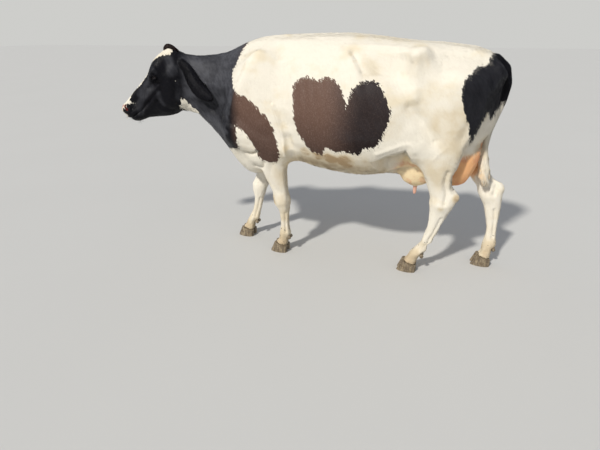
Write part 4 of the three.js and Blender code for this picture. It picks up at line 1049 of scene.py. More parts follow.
# Further tones of hair, skin, horn and eye.
STAIN_AND_SHADE_TONE, SPLASHED, GLINT = (0.66, 0.55, 0.37), (0.05, 0.04, 0.03), (0.22, 0.15, 0.125)
FORE_SKIN, FORE_BLOTCH, REAR_BLOTCH = (0.86, 0.7, 0.44), (0.72, 0.43, 0.25), (0.7, 0.32, 0.17)
TEAT, PORES, DOWNY = (0.72, 0.42, 0.32), (0.55, 0.26, 0.17), (0.82, 0.66, 0.46)
# The lids' tone is lighter than the black hair around them, partly as their bare skin and partly as a
# painted sheen on their margins.
FRECKLES, LID_SKIN_AND_SHEEN = (0.05, 0.035, 0.035), (0.03, 0.028, 0.032)
WORN_HORN, EARTH = (0.07, 0.055, 0.04), (0.12, 0.085, 0.05)
IRIS_RAYS, EYE_RIM, PUPIL = (0.03, 0.014, 0.008), (0.03, 0.018, 0.014), (0.002, 0.002, 0.004)
WHITE_ROUGH, BLACK_ROUGH, SHEEN = 0.85, 0.42, 0.13


def coat_colour(shader, colours):
    """The colour of her hair, the same in the skin and in the tufts."""
    mix, ease, times, noise, value_of = shader.mix, shader.ease, shader.times, shader.noise, shader.value_of
    jag = shader.plus(hair_grain(shader, 26.0, 90.0, 2.0), -0.5)
    edge = shader.plus(value_of("black"), times(jag, 0.05))
    black_share = ease(edge, -0.0022, 0.0022)
    clouds = noise((5.0, 5.0, 7.0), 4.0)
    strands = hair_grain(shader, 70.0, 420.0, 3.0)
    white = mix(ease(clouds, 0.48, 0.74), colours.white, colours.cream)
    white = mix(times(ease(strands, 0.45, 0.8), 0.1), white, colours.tan)
    # Soil and painted shade darken the white hair towards cream and tan.
    stain_and_shade = times(value_of("soil_and_shade"), shader.blend(ease(noise(9.0, 5.0), 0.34, 0.62), 0.42, 1.0))
    white = mix(times(ease(stain_and_shade, 0.0, 0.7), 0.8), white, STAIN_AND_SHADE_TONE)
    white = mix(times(ease(stain_and_shade, 0.55, 1.3), 0.9), white, colours.tan)
    specks = ease(noise((48.0, 48.0, 38.0), 3.0, roughness=0.6), 0.66, 0.7)
    white = mix(times(specks, ease(value_of("feet"), 0.25, 0.75)), white, SPLASHED)
    dark = mix(value_of("warm"), colours.black, colours.brown)
    streaks = ease(hair_grain(shader, 15.0, 64.0, 3.0), 0.36, 0.62)
    uneven = times(shader.blend(ease(clouds, 0.38, 0.64), 0.6, 1.1), shader.blend(streaks, 0.74, 1.1))
    # Painted sheen and highlights: the black hair is greyed where the skin marks dust, sheen or highlights.
    dark = mix(times(value_of("dust_sheen_and_teats"), uneven), dark, colours.dust_and_sheen_grey)
    flecks = noise((190.0, 190.0, 110.0), 3.0, roughness=0.7)
    glint = times(ease(flecks, 0.46, 0.72), shader.blend(value_of("warm"), 0.04, 1.0))
    dark = mix(times(glint, 0.62), dark, GLINT)
    return mix(black_share, white, dark), black_share


def skin_material(colours):
    """Hair that lies flat on the skin, and bare skin on the muzzle, the lids and the udder."""
    shader = Shader("hide")
    mix, ease, times, value_of = shader.mix, shader.ease, shader.times, shader.value_of
    coat, black_share = coat_colour(shader, colours)
    pores = shader.noise(160.0, 3.0)
    blotch = shader.noise(14.0, 4.0)
    fore = mix(ease(blotch, 0.43, 0.66), FORE_SKIN, FORE_BLOTCH)
    rear = mix(ease(blotch, 0.44, 0.7), colours.pink, REAR_BLOTCH)
    udder = mix(value_of("warm"), fore, rear)
    udder = mix(value_of("dust_sheen_and_teats"), udder, TEAT)
    udder = mix(times(ease(pores, 0.5, 0.8), 0.3), udder, PORES)
    bald = mix(value_of("muzzle"), udder, colours.nose)
    bald = mix(times(ease(shader.noise(70.0, 2.0), 0.6, 0.66), value_of("muzzle")), bald, FRECKLES)
    whole = mix(value_of("bare"), coat, bald)
    # Partly painted shade deep in the nostrils.
    whole = mix(value_of("nostril"), whole, colours.inside)
    # Painted sheen: the lids' margins are lighter, as light catching them.
    whole = mix(value_of("lid"), whole, LID_SKIN_AND_SHEEN)
    rough = shader.blend(value_of("muzzle"), shader.blend(black_share, WHITE_ROUGH, BLACK_ROUGH), 0.34)
    rough = shader.blend(value_of("lid"), rough, 0.35)
    locks = hair_grain(shader, 18.0, 70.0, 3.0)
    hairs = shader.plus(hair_grain(shader, 60.0, 420.0, 3.0), times(locks, 1.6))
    shader.set(Base_Color=whole, Roughness=rough, Specular_IOR_Level=SHEEN)
    shader.bump(shader.blend(value_of("bare"), hairs, times(pores, 0.5)), 0.0022, 0.8)
    return shader.material


def hair_material(colours):
    """Tufts and locks."""
    shader = Shader("hair")
    coat, black_share = coat_colour(shader, colours)
    coat = shader.mix(shader.value_of("bare"), coat, DOWNY)
    rough = shader.blend(black_share, WHITE_ROUGH, BLACK_ROUGH)
    shader.set(Base_Color=coat, Roughness=rough, Specular_IOR_Level=SHEEN)
    shader.bump(shader.noise(500.0, 2.0), 0.0006, 0.5)
    return shader.material


# ---- Operators ----------------------------------------------------------------------------------------

class CowOperator:
    """What all the operators share."""

    bl_options = {"REGISTER", "UNDO"}

    @classmethod
    def poll(cls, context):
        return context.scene is not None

    def finished(self, piece, material, slot, replaces=()):
        """Gives a piece its material and its place in the frame; slot is not used."""
        piece.data.materials.clear()
        piece.data.materials.append(material)
        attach(piece, "root")
        if replaces:
            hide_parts(*replaces)


def refine(made, chosen):
    """Splits the faces that are chosen, once."""
    take(made)
    mesh = made.data
    for kind in (mesh.vertices, mesh.edges, mesh.polygons):
        kind.foreach_set("select", np.zeros(len(kind), bool))
    mesh.polygons.foreach_set("select", chosen)
    bpy.ops.object.mode_set(mode="EDIT")
    bpy.ops.mesh.select_mode(type="FACE")
    bpy.ops.mesh.subdivide(number_cuts=1, quadcorner="INNERVERT")
    bpy.ops.object.mode_set(mode="OBJECT")


FINE_FROM, FINE_OUT, FINE_HALF = -0.05, -0.34, 0.125     # the face gets a finer net, in the head's frame
FINE_EYES = (0.036, 0.025)                               # and round the eyes it gets finer twice more


def face_centres(mesh):
    """The middle of each face."""
    return read(mesh.polygons, "center", 3)


class COW_OT_skin(CowOperator, bpy.types.Operator):
    """One skin over all her flesh, with the forms of bone and muscle, the face, lids and markings"""

    bl_idname = "cow.skin"
    bl_label = "Skin"

    def execute(self, context):
        sizes = context.scene.cow_skin
        made = copies_of(FLESH, "skin")
        self.close(made, sizes)
        tree, face_regions = flesh_tree()
        self.round_off(made, sizes, tree, face_regions)
        self.sculpt(made)
        self.thin_out(made, sizes.faces)
        self.mark(made, tree, face_regions)
        bpy.ops.object.shade_smooth()
        self.finished(made, skin_material(context.scene.cow_colours), "white_coat", FLESH)
        return {"FINISHED"}

    def close(self, made, sizes):
        """Grows the parted flesh until it meets, and nets it as one surface."""
        bpy.ops.object.mode_set(mode="EDIT")
        bpy.ops.mesh.select_all(action="SELECT")
        bpy.ops.transform.shrink_fatten(value=sizes.overlap)
        bpy.ops.object.mode_set(mode="OBJECT")
        grain = sizes.grain
        apply(made, "REMESH", mode="VOXEL", voxel_size=grain)

    def round_off(self, made, sizes, tree, face_regions):
        """Rounds the facets away, and draws the skin in by the coat's depth."""
        mesh = made.data
        points = points_of(mesh)
        ends = ends_of(mesh)
        region = regions_of(points, tree, face_regions)
        strength = spread(region_values(region, "round"), ends, 12)
        coat = spread(region_values(region, "coat"), ends, 12)
        passes = sizes.rounding
        write_points(mesh, rounded(points, ends, passes, strength))
        normals = normals_of(mesh)
        points = points_of(mesh)
        write_points(mesh, points - normals * (coat + sizes.overlap)[:, None])

    def sculpt(self, made):
        """Bones, muscles, folds, nostrils, mouth and lids."""
        middles = to_head(face_centres(made.data))
        fine = (middles[:, 0] > FINE_FROM) & (middles[:, 2] > FINE_OUT)
        refine(made, fine & (np.abs(middles[:, 1]) < FINE_HALF))
        middles = face_centres(made.data)
        for reach in FINE_EYES:
            near = [np.linalg.norm(middles - eye, axis=1) < reach for eye in EYE_CENTRES.values()]
            refine(made, np.any(near, 0))
            middles = face_centres(made.data)
        surface = Surface(made.data)
        points = ease_fore_udder(tuck_flanks(raise_forms(surface)), surface.ends)
        lid = np.zeros(len(points))
        points = form_lids(points, surface.ends, lid)
        write_points(made.data, points)
        write_values(made.data, "lid", lid)

    def thin_out(self, made, faces):
        """Merges triangles where the form is plain, and spares the eyes, nostrils and mouth."""
        mesh = made.data
        points = points_of(mesh)
        spared = np.min([np.linalg.norm(points - eye, axis=1) for eye in EYE_CENTRES.values()], 0)
        along, across, out = to_head(points).T
        muzzle = steps(along, 0.4, 0.44) * (np.abs(across) < 0.09) * (out > -0.13)
        coarse = steps(spared, 0.03, 0.045) * (1 - muzzle * 0.8)
        group = made.vertex_groups.new(name="coarse")
        for weight in np.unique(np.round(coarse, 1)):
            group.add(np.flatnonzero(np.round(coarse, 1) == weight).tolist(), float(weight), "REPLACE")
        count = sum(len(face.vertices) - 2 for face in mesh.polygons)
        apply(made, "DECIMATE", ratio=min(1.0, faces / count), vertex_group=group.name,
              vertex_group_factor=1.0)
        made.vertex_groups.clear()

    def mark(self, made, tree, face_regions):
        """Keeps her markings and the lie of her hair in the skin, and unwraps it."""
        take(made)
        bpy.ops.object.mode_set(mode="EDIT")
        bpy.ops.mesh.select_all(action="SELECT")
        bpy.ops.mesh.quads_convert_to_tris()
        bpy.ops.uv.smart_project(angle_limit=math.radians(66), island_margin=0.001)
        bpy.ops.object.mode_set(mode="OBJECT")
        mesh = made.data
        points = points_of(mesh)
        normals = normals_of(mesh)
        ends = ends_of(mesh)
        region = regions_of(points, tree, face_regions)
        marks = markings(points, region)
        plate, nostril = muzzle_bare(points)
        marks["bare"] = np.maximum(spread(marks["bare"], ends, 3), plate)
        marks["muzzle"], marks["nostril"] = plate, nostril
        lie = spread(hair_lie(points, normals, region), ends, 10)
        lie = unit(lie - normals * (lie * normals).sum(1, keepdims=True))
        marks["down"] = steps(np.abs(lie[:, 2]), 0.88, 0.97)
        for name, values in marks.items():
            write_values(mesh, name, values)
        for axis, name in enumerate(("lie_x", "lie_y", "lie_z")):
            write_values(mesh, name, lie[:, axis])
        write_values(mesh, "region", region)


CORNEA, CORNEA_EDGE = 0.0012, (0.002, 0.012)           # how far it bulges, and where that ends
IRIS_EDGE, PUPIL_EDGE = (0.0135, 0.015), (0.0042, 0.0052)
PUPIL_WIDTH = 1.7                       # beside its height
BACK_OF_EYE = 0.03                      # from the pupil's middle, so it is past the iris
OFF_CENTRE = (0.31, 0.57, 0.83)         # no two faces of a ball are equally far from here


class COW_OT_eyes(CowOperator, bpy.types.Operator):
    """Both eyes: a wet dark ball with a bulging cornea, a brown iris and a pupil that lies level"""

    bl_idname = "cow.eyes"
    bl_label = "Eyes"

    def execute(self, context):
        material = self.material(context.scene.cow_colours)
        for name, side in SIDES:
            slit, up, out = eye_axes(side)
            deselect()
            bpy.ops.mesh.primitive_uv_sphere_add(segments=64, ring_count=40, radius=EYE_RADIUS)
            self.put_in_order(context)
            ball = bpy.context.object
            ball.name = ball.data.name = f"eyeball_{name}"
            points = points_of(ball.data)
            x, y, z = points.T
            apart, slot = np.hypot(x, y), np.hypot(x / PUPIL_WIDTH, y)
            front = z > 0
            points[:, 2] += np.where(front, CORNEA * (1 - steps(apart, *CORNEA_EDGE)), 0.0)
            write_values(ball.data, "apart", np.where(front, apart, BACK_OF_EYE))
            write_values(ball.data, "pupil", np.where(front, slot, BACK_OF_EYE))
            write_points(ball.data, points @ np.array((slit, up, out)) + EYE_CENTRES[name])
            bpy.ops.object.shade_smooth()
            self.finished(ball, material, "eye", (f"eye_{name}",))
        return {"FINISHED"}

    def put_in_order(self, context):
        """Lists the faces by how far off they are, so that they come in the same order on every run."""
        cursor = context.scene.cursor
        cursor.location = OFF_CENTRE
        bpy.ops.object.mode_set(mode="EDIT")
        bpy.ops.mesh.select_all(action="SELECT")
        bpy.ops.mesh.sort_elements(type="CURSOR_DISTANCE", elements={"FACE"})
        bpy.ops.object.mode_set(mode="OBJECT")
        cursor.location = (0.0, 0.0, 0.0)

    def material(self, colours):
        """A wet eye."""
        shader = Shader("wet_eye")
        iris = shader.mix(shader.ease(shader.noise(900.0, 2.0), 0.35, 0.7), colours.iris, IRIS_RAYS)
        ball = shader.mix(shader.ease(shader.value_of("apart"), *IRIS_EDGE), iris, EYE_RIM)
        whole = shader.mix(shader.ease(shader.value_of("pupil"), *PUPIL_EDGE), PUPIL, ball)
        shader.set(Base_Color=whole, Roughness=0.12, Specular_IOR_Level=0.25)
        shader.set(Coat_Weight=0.35, Coat_Roughness=0.03)
        return shader.material


HORN_EDGE = 0.0035                      # how far the claws' edges are rounded
RINGS, RING_DEPTH, RING_SLOPE = 6.5, 0.0006, 0.3       # rings of growth up a claw


class COW_OT_claws(CowOperator, bpy.types.Operator):
    """The claws and dewclaws, with rounded edges and rings of growth in the horn"""

    bl_idname = "cow.claws"
    bl_label = "Claws"

    def execute(self, context):
        material = self.material(context.scene.cow_colours)
        for leg in LEGS:
            for place in ("outer", "inner"):
                for kind in ("claw", "dewclaw"):
                    node = f"{kind}_{leg}_{place}"
                    piece = copies_of((node,), f"horn_{node}")
                    self.shape(piece)
                    self.finished(piece, material, "horn", (node,))
        return {"FINISHED"}

    def shape(self, piece):
        """Bevels the edges, then rings the horn."""
        apply(piece, "BEVEL", width=HORN_EDGE, segments=2, limit_method="ANGLE",
              angle_limit=math.radians(35))
        apply(piece, "SUBSURF", levels=2, render_levels=2, subdivision_type="SIMPLE")
        apply(piece, "SMOOTH", factor=0.5, iterations=6)
        points = points_of(piece.data)
        normals = normals_of(piece.data)
        low, high = points[:, 2].min(), points[:, 2].max()
        slope = (points[:, 2] + RING_SLOPE * (points[:, 0] - points[:, 0].mean())) / (high - low)
        rings = np.sin(slope * 2 * math.pi * RINGS) * RING_DEPTH
        rings *= steps(points[:, 2], low + 0.004, low + 0.014)
        sides = (1 - np.abs(normals[:, 2]))[:, None]
        points += normals * rings[:, None] * sides
        points[:, 2] = np.maximum(points[:, 2], low)
        write_points(piece.data, points)
        take(piece)
        bpy.ops.object.shade_smooth_by_angle(angle=math.radians(50))

    def material(self, colours):
        """Worn horn."""
        shader = Shader("horn")
        streaks = shader.noise((160.0, 160.0, 14.0), 4.0)
        bands = shader.noise((20.0, 20.0, 190.0), 3.0)
        horn = shader.mix(shader.ease(streaks, 0.42, 0.66), colours.horn, colours.horn_pale)
        horn = shader.mix(shader.times(shader.ease(bands, 0.5, 0.7), 0.5), horn, WORN_HORN)
        earth = shader.ease(shader.noise(60.0, 4.0), 0.5, 0.62)
        horn = shader.mix(shader.times(earth, 0.6), horn, EARTH)
        shader.set(Base_Color=horn, Roughness=shader.blend(earth, 0.42, 0.85), Specular_IOR_Level=0.4)
        shader.bump(shader.plus(streaks, bands), 0.0008, 0.6)
        return shader.material


# ---- Coat ---------------------------------------------------------------------------------------------

# Numbers kept in the skin that the coat's colour needs, and those that say where hair grows.
COAT_MARKS = ("black", "warm", "bare", "soil_and_shade", "dust_sheen_and_teats", "feet", "down")
BALD_MARKS = ("muzzle", "nostril", "lid")


class Hide:
    """The finished skin as triangles, from which the coat grows."""

    def __init__(self):
        mesh = bpy.data.objects["skin"].data
        self.points = points_of(mesh)
        self.normals = normals_of(mesh)
        self.triangles = read(mesh.polygons, "vertices", 3, np.int32)
        self.plan = read(mesh.uv_layers[0].uv, "vector", 2).reshape(-1, 3, 2)
        self.marks = {name: self.values(mesh, name) for name in (*COAT_MARKS, *BALD_MARKS, "region")}
        self.lie = np.stack([self.values(mesh, f"lie_{axis}") for axis in "xyz"], 1)
        corners = self.points[self.triangles]
        sides = corners[:, 1:] - corners[:, :1]
        self.areas = np.linalg.norm(np.cross(sides[:, 0], sides[:, 1]), axis=1) / 2
        self.tree = BVHTree.FromPolygons(self.points.tolist(), self.triangles.tolist())

    @staticmethod
    def values(mesh, name):
        """One number kept in the skin."""
        return read(mesh.attributes[name].data, "value", 1)

    def kind(self, *kinds):
        """1 at the points of some kinds of flesh."""
        return is_kind(np.rint(self.marks["region"]), *kinds).astype(float)

    def roots(self, count, density, chance):
        """Places for tufts, more of them where density is high. density has a value for each point."""
        weight = self.areas * density[self.triangles].mean(1)
        edges = np.cumsum(weight)
        if edges[-1] <= 0:
            raise RuntimeError("no place on the skin for this piece of the coat")
        face = np.minimum(np.searchsorted(edges, chance.random(count) * edges[-1]), len(edges) - 1)
        share = chance.random((count, 2))
        over = share.sum(1) > 1
        share[over] = 1 - share[over]
        parts = np.stack([1 - share.sum(1), share[:, 0], share[:, 1]], 1)
        corners = self.triangles[face]

        def at(values):
            """Values at the places, from the corners of their faces."""
            return (values[corners] * (parts[..., None] if values.ndim > 1 else parts)).sum(1)

        found = {name: at(values) for name, values in self.marks.items()}
        found["place"] = at(self.points)
        found["normal"] = unit(at(self.normals))
        found["lie"] = unit(at(self.lie))
        found["plan"] = (self.plan[face] * parts[..., None]).sum(1)
        return found

    def ground(self, places):
        """The nearest places on the skin, and the way out of it there."""
        found = [self.tree.find_nearest(p)[:2] for p in places.tolist()]
        return np.array([f[0] for f in found]), np.array([f[1] for f in found])


PATCH = 0.0015                          # half the size of a tuft's patch on the unwrap of the skin
THIRDS = (0.0, 2.0944, 4.18879)         # of a turn, in radians: a lock has three edges


def build_locks(name, roots, lines, widths, flatness, like_skin=0.0):
    """One mesh of closed three-sided locks.

    lines has each lock's middle line, widths its half width along it, and flatness its thickness beside
    its width. like_skin says how far it takes the light as the skin under it does.
    """
    count, rings = lines.shape[:2]
    rings -= 1
    ahead = unit(np.diff(lines, axis=1))
    side = unit(np.cross(roots["normal"][:, None, :], ahead))
    up = unit(np.cross(ahead, side))
    turns = np.array(THIRDS) + math.pi / 2
    circle = np.stack([np.cos(turns), np.sin(turns)], 1)
    ring = (side[:, :, None, :] * circle[:, 0, None] + up[:, :, None, :] * circle[:, 1, None] * flatness)
    ring = lines[:, :-1, None, :] + ring * widths[:, :-1, None, None]
    points = np.concatenate([ring.reshape(count, rings * 3, 3), lines[:, -1:, :]], 1)
    faces = [(2, 1, 0)]
    for k in range(rings - 1):
        for s in range(3):
            a, b = 3 * k + s, 3 * k + (s + 1) % 3
            faces.append((a, b, b + 3, a + 3))
    last = 3 * (rings - 1)
    faces += [(last + s, last + (s + 1) % 3, 3 * rings) for s in range(3)]
    per = points.shape[1]
    loops = np.concatenate([np.array(face) for face in faces])
    sizes = np.array([len(face) for face in faces])
    starts = np.concatenate([[0], np.cumsum(sizes)[:-1]])
    mesh = bpy.data.meshes.new(name)
    mesh.vertices.add(count * per)
    mesh.loops.add(count * len(loops))
    mesh.polygons.add(count * len(faces))
    shift = np.arange(count)[:, None]
    mesh.vertices.foreach_set("co", points.astype(np.float32).ravel())
    every_loop = (loops[None, :] + shift * per).ravel()
    mesh.loops.foreach_set("vertex_index", every_loop.astype(np.int32))
    mesh.polygons.foreach_set("loop_start", (starts[None, :] + shift * len(loops)).ravel().astype(np.int32))
    mesh.update(calc_edges=True)
    for mark in COAT_MARKS:
        write_values(mesh, mark, np.repeat(roots[mark], per))
    shrink = PATCH * (1 - np.arange(rings) / rings)
    patch = np.concatenate([(circle[None] * shrink[:, None, None]).reshape(-1, 2), [[0.0, 0.0]]])
    plan = roots["plan"][:, None, :] * (1 - 2 * PATCH) + PATCH + patch[None]
    layer = mesh.uv_layers.new(name="OFBake", do_init=False)
    layer.uv.foreach_set("vector", plan.reshape(-1, 2)[every_loop].astype(np.float32).ravel())
    made = bpy.data.objects.new(name, mesh)
    bpy.context.collection.objects.link(made)
    take(made)
    bpy.ops.object.shade_smooth()
    if like_skin:
        own = normals_of(mesh)
        under = np.repeat(roots["normal"], per, 0)
        mesh.normals_split_custom_set_from_vertices(unit(under * like_skin + own * (1 - like_skin)))
    return made


ROOT_DEPTH = 0.0012                     # how far a lock starts below the skin
LOCK = 0.0022                           # half width of the locks at the poll and the tail's end


def lying_lines(hide, roots, length, lift, rings, chance, wander, curve):
    """Middle lines of locks that follow the skin from their roots."""
    count = len(length)
    across = np.cross(roots["normal"], roots["lie"])
    turn = chance.normal(0, wander, count)[:, None]
    lie = unit(roots["lie"] + across * turn)
    bend = chance.normal(0, wander * 0.5, count)[:, None]
    lines = [roots["place"] - roots["normal"] * ROOT_DEPTH]
    for k in range(1, rings + 1):
        t = k / rings
        ahead = roots["place"] + (lie * t + across * bend * t * t) * length[:, None]
        ground, out = hide.ground(ahead)
        lines.append(ground + out * (lift * t**curve)[:, None])
    return np.stack(lines, 1)


def tuft_widths(half, rings):
    """Half widths along a tuft: widest a little past the root, and a point at the tip."""
    t = np.arange(rings + 1) / rings
    shape = (1 - t**2.2) * (0.75 + 0.5 * np.sin(np.pi * np.minimum(t * 1.3, 1)))
    return half[:, None] * shape[None, :]


def how_many(count):
    """A number of locks."""
    return int(count * (1.0))


class CoatOperator(CowOperator):
    """What the operators that grow hair on the skin share."""

    def grow(self, context, hide, name, seed, count, long, half, lift, way, wander, dark):
        """One piece of coat, where density says. way is LYING or LOOSE. No length means the region's own."""
        chance = np.random.default_rng(seed)
        sizes = context.scene.cow_coat
        count = how_many(count * sizes.fullness)
        roots = hide.roots(count, self.density(hide, name), chance)
        if long is None:
            long = region_values(np.rint(roots["region"]).astype(int), "hair")
        length = long * sizes.length * chance.uniform(way["shortest"], 1.3, count)
        lift = lift * chance.uniform(way["lowest"], 1.3, count)
        lines = lying_lines(hide, roots, length, lift, way["rings"], chance, wander, way["curve"])
        widths = tuft_widths(half * chance.uniform(0.7, 1.3, count), way["rings"])
        piece = build_locks(name, roots, lines, widths, way["flatness"], way["like_skin"])
        material = hair_material(context.scene.cow_colours)
        self.finished(piece, material, "black_coat" if dark else "white_coat")


# How the locks of the lying coat and of the fringes stand.
LYING = {"shortest": 0.7, "lowest": 0.5, "rings": 1, "curve": 1.0, "flatness": 0.2, "like_skin": 0.75}
LOOSE = {"shortest": 0.6, "lowest": 0.3, "rings": 2, "curve": 1.5, "flatness": 0.3, "like_skin": 0.5}

# Fields of the coat: kinds of flesh, tufts, half width, lift, how far they wander, whether mostly black.
FIELDS = {
    "coat_head": (("head", "ear"), 47000, 0.0006, 0.0007, 0.16, True),
    "coat_neck": (("neck",), 38000, 0.0009, 0.0012, 0.14, True),
    "coat_trunk_left": (("trunk",), 48500, 0.001, 0.0012, 0.14, False),
    "coat_trunk_right": (("trunk",), 48500, 0.001, 0.0012, 0.14, False),
    "coat_legs": (("leg",), 48500, 0.0007, 0.0008, 0.15, False),
    "coat_udder": (("udder",), 9000, 0.0004, 0.001, 0.3, False),
    "coat_tail": (("tail",), 9000, 0.0011, 0.003, 0.15, True),
}


class COW_OT_coat(CoatOperator, bpy.types.Operator):
    """The short coat: thin overlapping tufts that lie along her body"""

    bl_idname = "cow.coat"
    bl_label = "Coat"

    def execute(self, context):
        hide = Hide()
        for number, (name, (_, count, half, lift, wander, dark)) in enumerate(FIELDS.items()):
            self.grow(context, hide, name, SEED + number, count, None, half, lift, LYING, wander, dark)
        return {"FINISHED"}

    def density(self, hide, name):
        """Where one field of the coat grows."""
        density = hide.kind(*FIELDS[name][0]) * (1 - np.max([hide.marks[mark] for mark in BALD_MARKS], 0))
        if name.endswith("_left"):
            density = density * (hide.points[:, 1] < 0)
        if name.endswith("_right"):
            density = density * (hide.points[:, 1] >= 0)
        return density


# Fringes where the coat breaks the form: tufts, length, half width, lift, whether mostly black.
FRINGES = {
    "fringe_topline": (5000, 0.03, 0.0012, 0.0034, False),
    "fringe_under": (6000, 0.034, 0.0012, 0.007, False),
    "fringe_thighs": (4000, 0.03, 0.0012, 0.0055, False),
    "fringe_legs": (5000, 0.026, 0.001, 0.0055, False),
    "fringe_jaw": (3500, 0.02, 0.0008, 0.004, True),
    "fringe_coronets": (3000, 0.024, 0.001, 0.004, False),
    "fringe_ears": (4200, 0.028, 0.0008, 0.0075, True),
}


class COW_OT_fringes(CoatOperator, bpy.types.Operator):
    """Longer hair on her topline, belly, brisket, thighs, jaw, ears, backs of the legs and coronets"""

    bl_idname = "cow.fringes"
    bl_label = "Fringes"

    def execute(self, context):
        hide = Hide()
        for number, (name, (count, long, half, lift, dark)) in enumerate(FRINGES.items()):
            self.grow(context, hide, name, SEED * 10 + number, count, long, half, lift, LOOSE, 0.2, dark)
        return {"FINISHED"}

    def density(self, hide, name):
        """Where one of the fringes grows."""
        x, y, z = hide.points.T
        nx, _, nz = hide.normals.T
        trunk, neck, leg = hide.kind("trunk"), hide.kind("neck"), hide.kind("leg")
        if name == "fringe_topline":
            off_middle = steps(np.abs(y), 0.05, 0.1) * trunk
            return np.maximum(trunk, neck) * steps(nz, 0.8, 0.97) * (1 - off_middle)
        if name == "fringe_under":
            return np.maximum(trunk, neck) * steps(-nz, 0.55, 0.9) * (np.abs(y) < 0.24)
        if name == "fringe_thighs":
            return np.maximum(trunk, leg) * steps(nx, 0.45, 0.85) * (z > 0.6) * (x > 0.8)
        if name == "fringe_legs":
            return leg * steps(nx, 0.55, 0.9) * (z < 0.66) * (z > 0.08)
        if name == "fringe_coronets":
            return leg * (1 - steps(z, 0.062, 0.085))
        if name == "fringe_jaw":
            under = steps(-(hide.normals @ HEAD_AXES[2]), 0.35, 0.8)
            ahead = to_head(hide.points)[:, 0] < 0.47
            return hide.kind("head") * under * (1 - hide.marks["muzzle"]) * ahead
        inner = steps(hide.normals @ HEAD_AXES[0], 0.2, 0.7)
        rim = steps(np.abs(hide.normals @ HEAD_AXES[2]), 0.4, 0.8)
        return hide.kind("ear") * (inner + rim * 1.5 + 0.1)


def roots_at(hide, places, normals):
    """Roots of locks at given places, with the marks of the nearest skin."""
    faces = [hide.tree.find_nearest(p)[2] for p in places.tolist()]
    corners = hide.triangles[faces]
    roots = {name: values[corners].mean(1) for name, values in hide.marks.items()}
    roots["plan"] = hide.plan[faces].mean(1)
    roots["place"], roots["normal"] = places, normals
    return roots


class COW_OT_poll_tuft(CowOperator, bpy.types.Operator):
    """The black tuft that curls forward over her poll"""

    bl_idname = "cow.poll_tuft"
    bl_label = "Poll tuft"

    # The curl over the poll, from the nape forward to the forehead, in the head's frame: along and out.
    CURL = ((-0.052, -0.07), (-0.052, -0.03), (-0.04, -0.002), (-0.014, 0.01), (0.01, -0.002),
            (0.016, -0.016))
    MIDDLE = (-0.012, -0.06)            # inside the curl

    def execute(self, context):
        count = how_many(context.scene.cow_coat.poll_locks)
        chance = np.random.default_rng(SEED * 100)
        rings = 6
        t = np.linspace(0, 1, rings + 1)
        curl = curve_through(self.CURL, per_span=6)
        at = np.linspace(0, 1, len(curl))
        start = chance.uniform(0.0, 0.6, count)
        reach = chance.uniform(0.3, 0.5, count)
        along_curl = np.clip(start[:, None] + reach[:, None] * t[None, :], 0, 1)
        along = np.interp(along_curl, at, curl[:, 0])
        out = np.interp(along_curl, at, curl[:, 1])
        across = chance.uniform(-1, 1, count)[:, None] * (0.047 - 0.014 * along_curl)
        depth = chance.uniform(0.25, 1.0, count)[:, None] ** 0.6
        middle = np.array(self.MIDDLE)
        along = middle[0] + (along - middle[0]) * depth + chance.normal(0, 0.002, (count, 1))
        aside = across / 0.046
        out = middle[1] + (out - middle[1]) * depth * (1 - 0.2 * aside**2) - 0.02 * aside**4
        across = across + chance.normal(0, 0.0035, (count, 1)) * t[None, :]
        lines = from_head(np.stack([along, across, out], 2))
        normals = unit(lines[:, 0] - from_head((middle[0], 0.0, middle[1] - 0.02)))
        roots = roots_at(Hide(), lines[:, 0], normals)
        roots["black"][:] = 0.05
        roots["warm"][:] = 0.15
        widths = tuft_widths(LOCK * chance.uniform(0.6, 1.3, count), rings)
        piece = build_locks("tuft_poll", roots, lines, widths, 0.6)
        self.finished(piece, hair_material(context.scene.cow_colours), "black_coat", ("poll_tuft",))
        return {"FINISHED"}


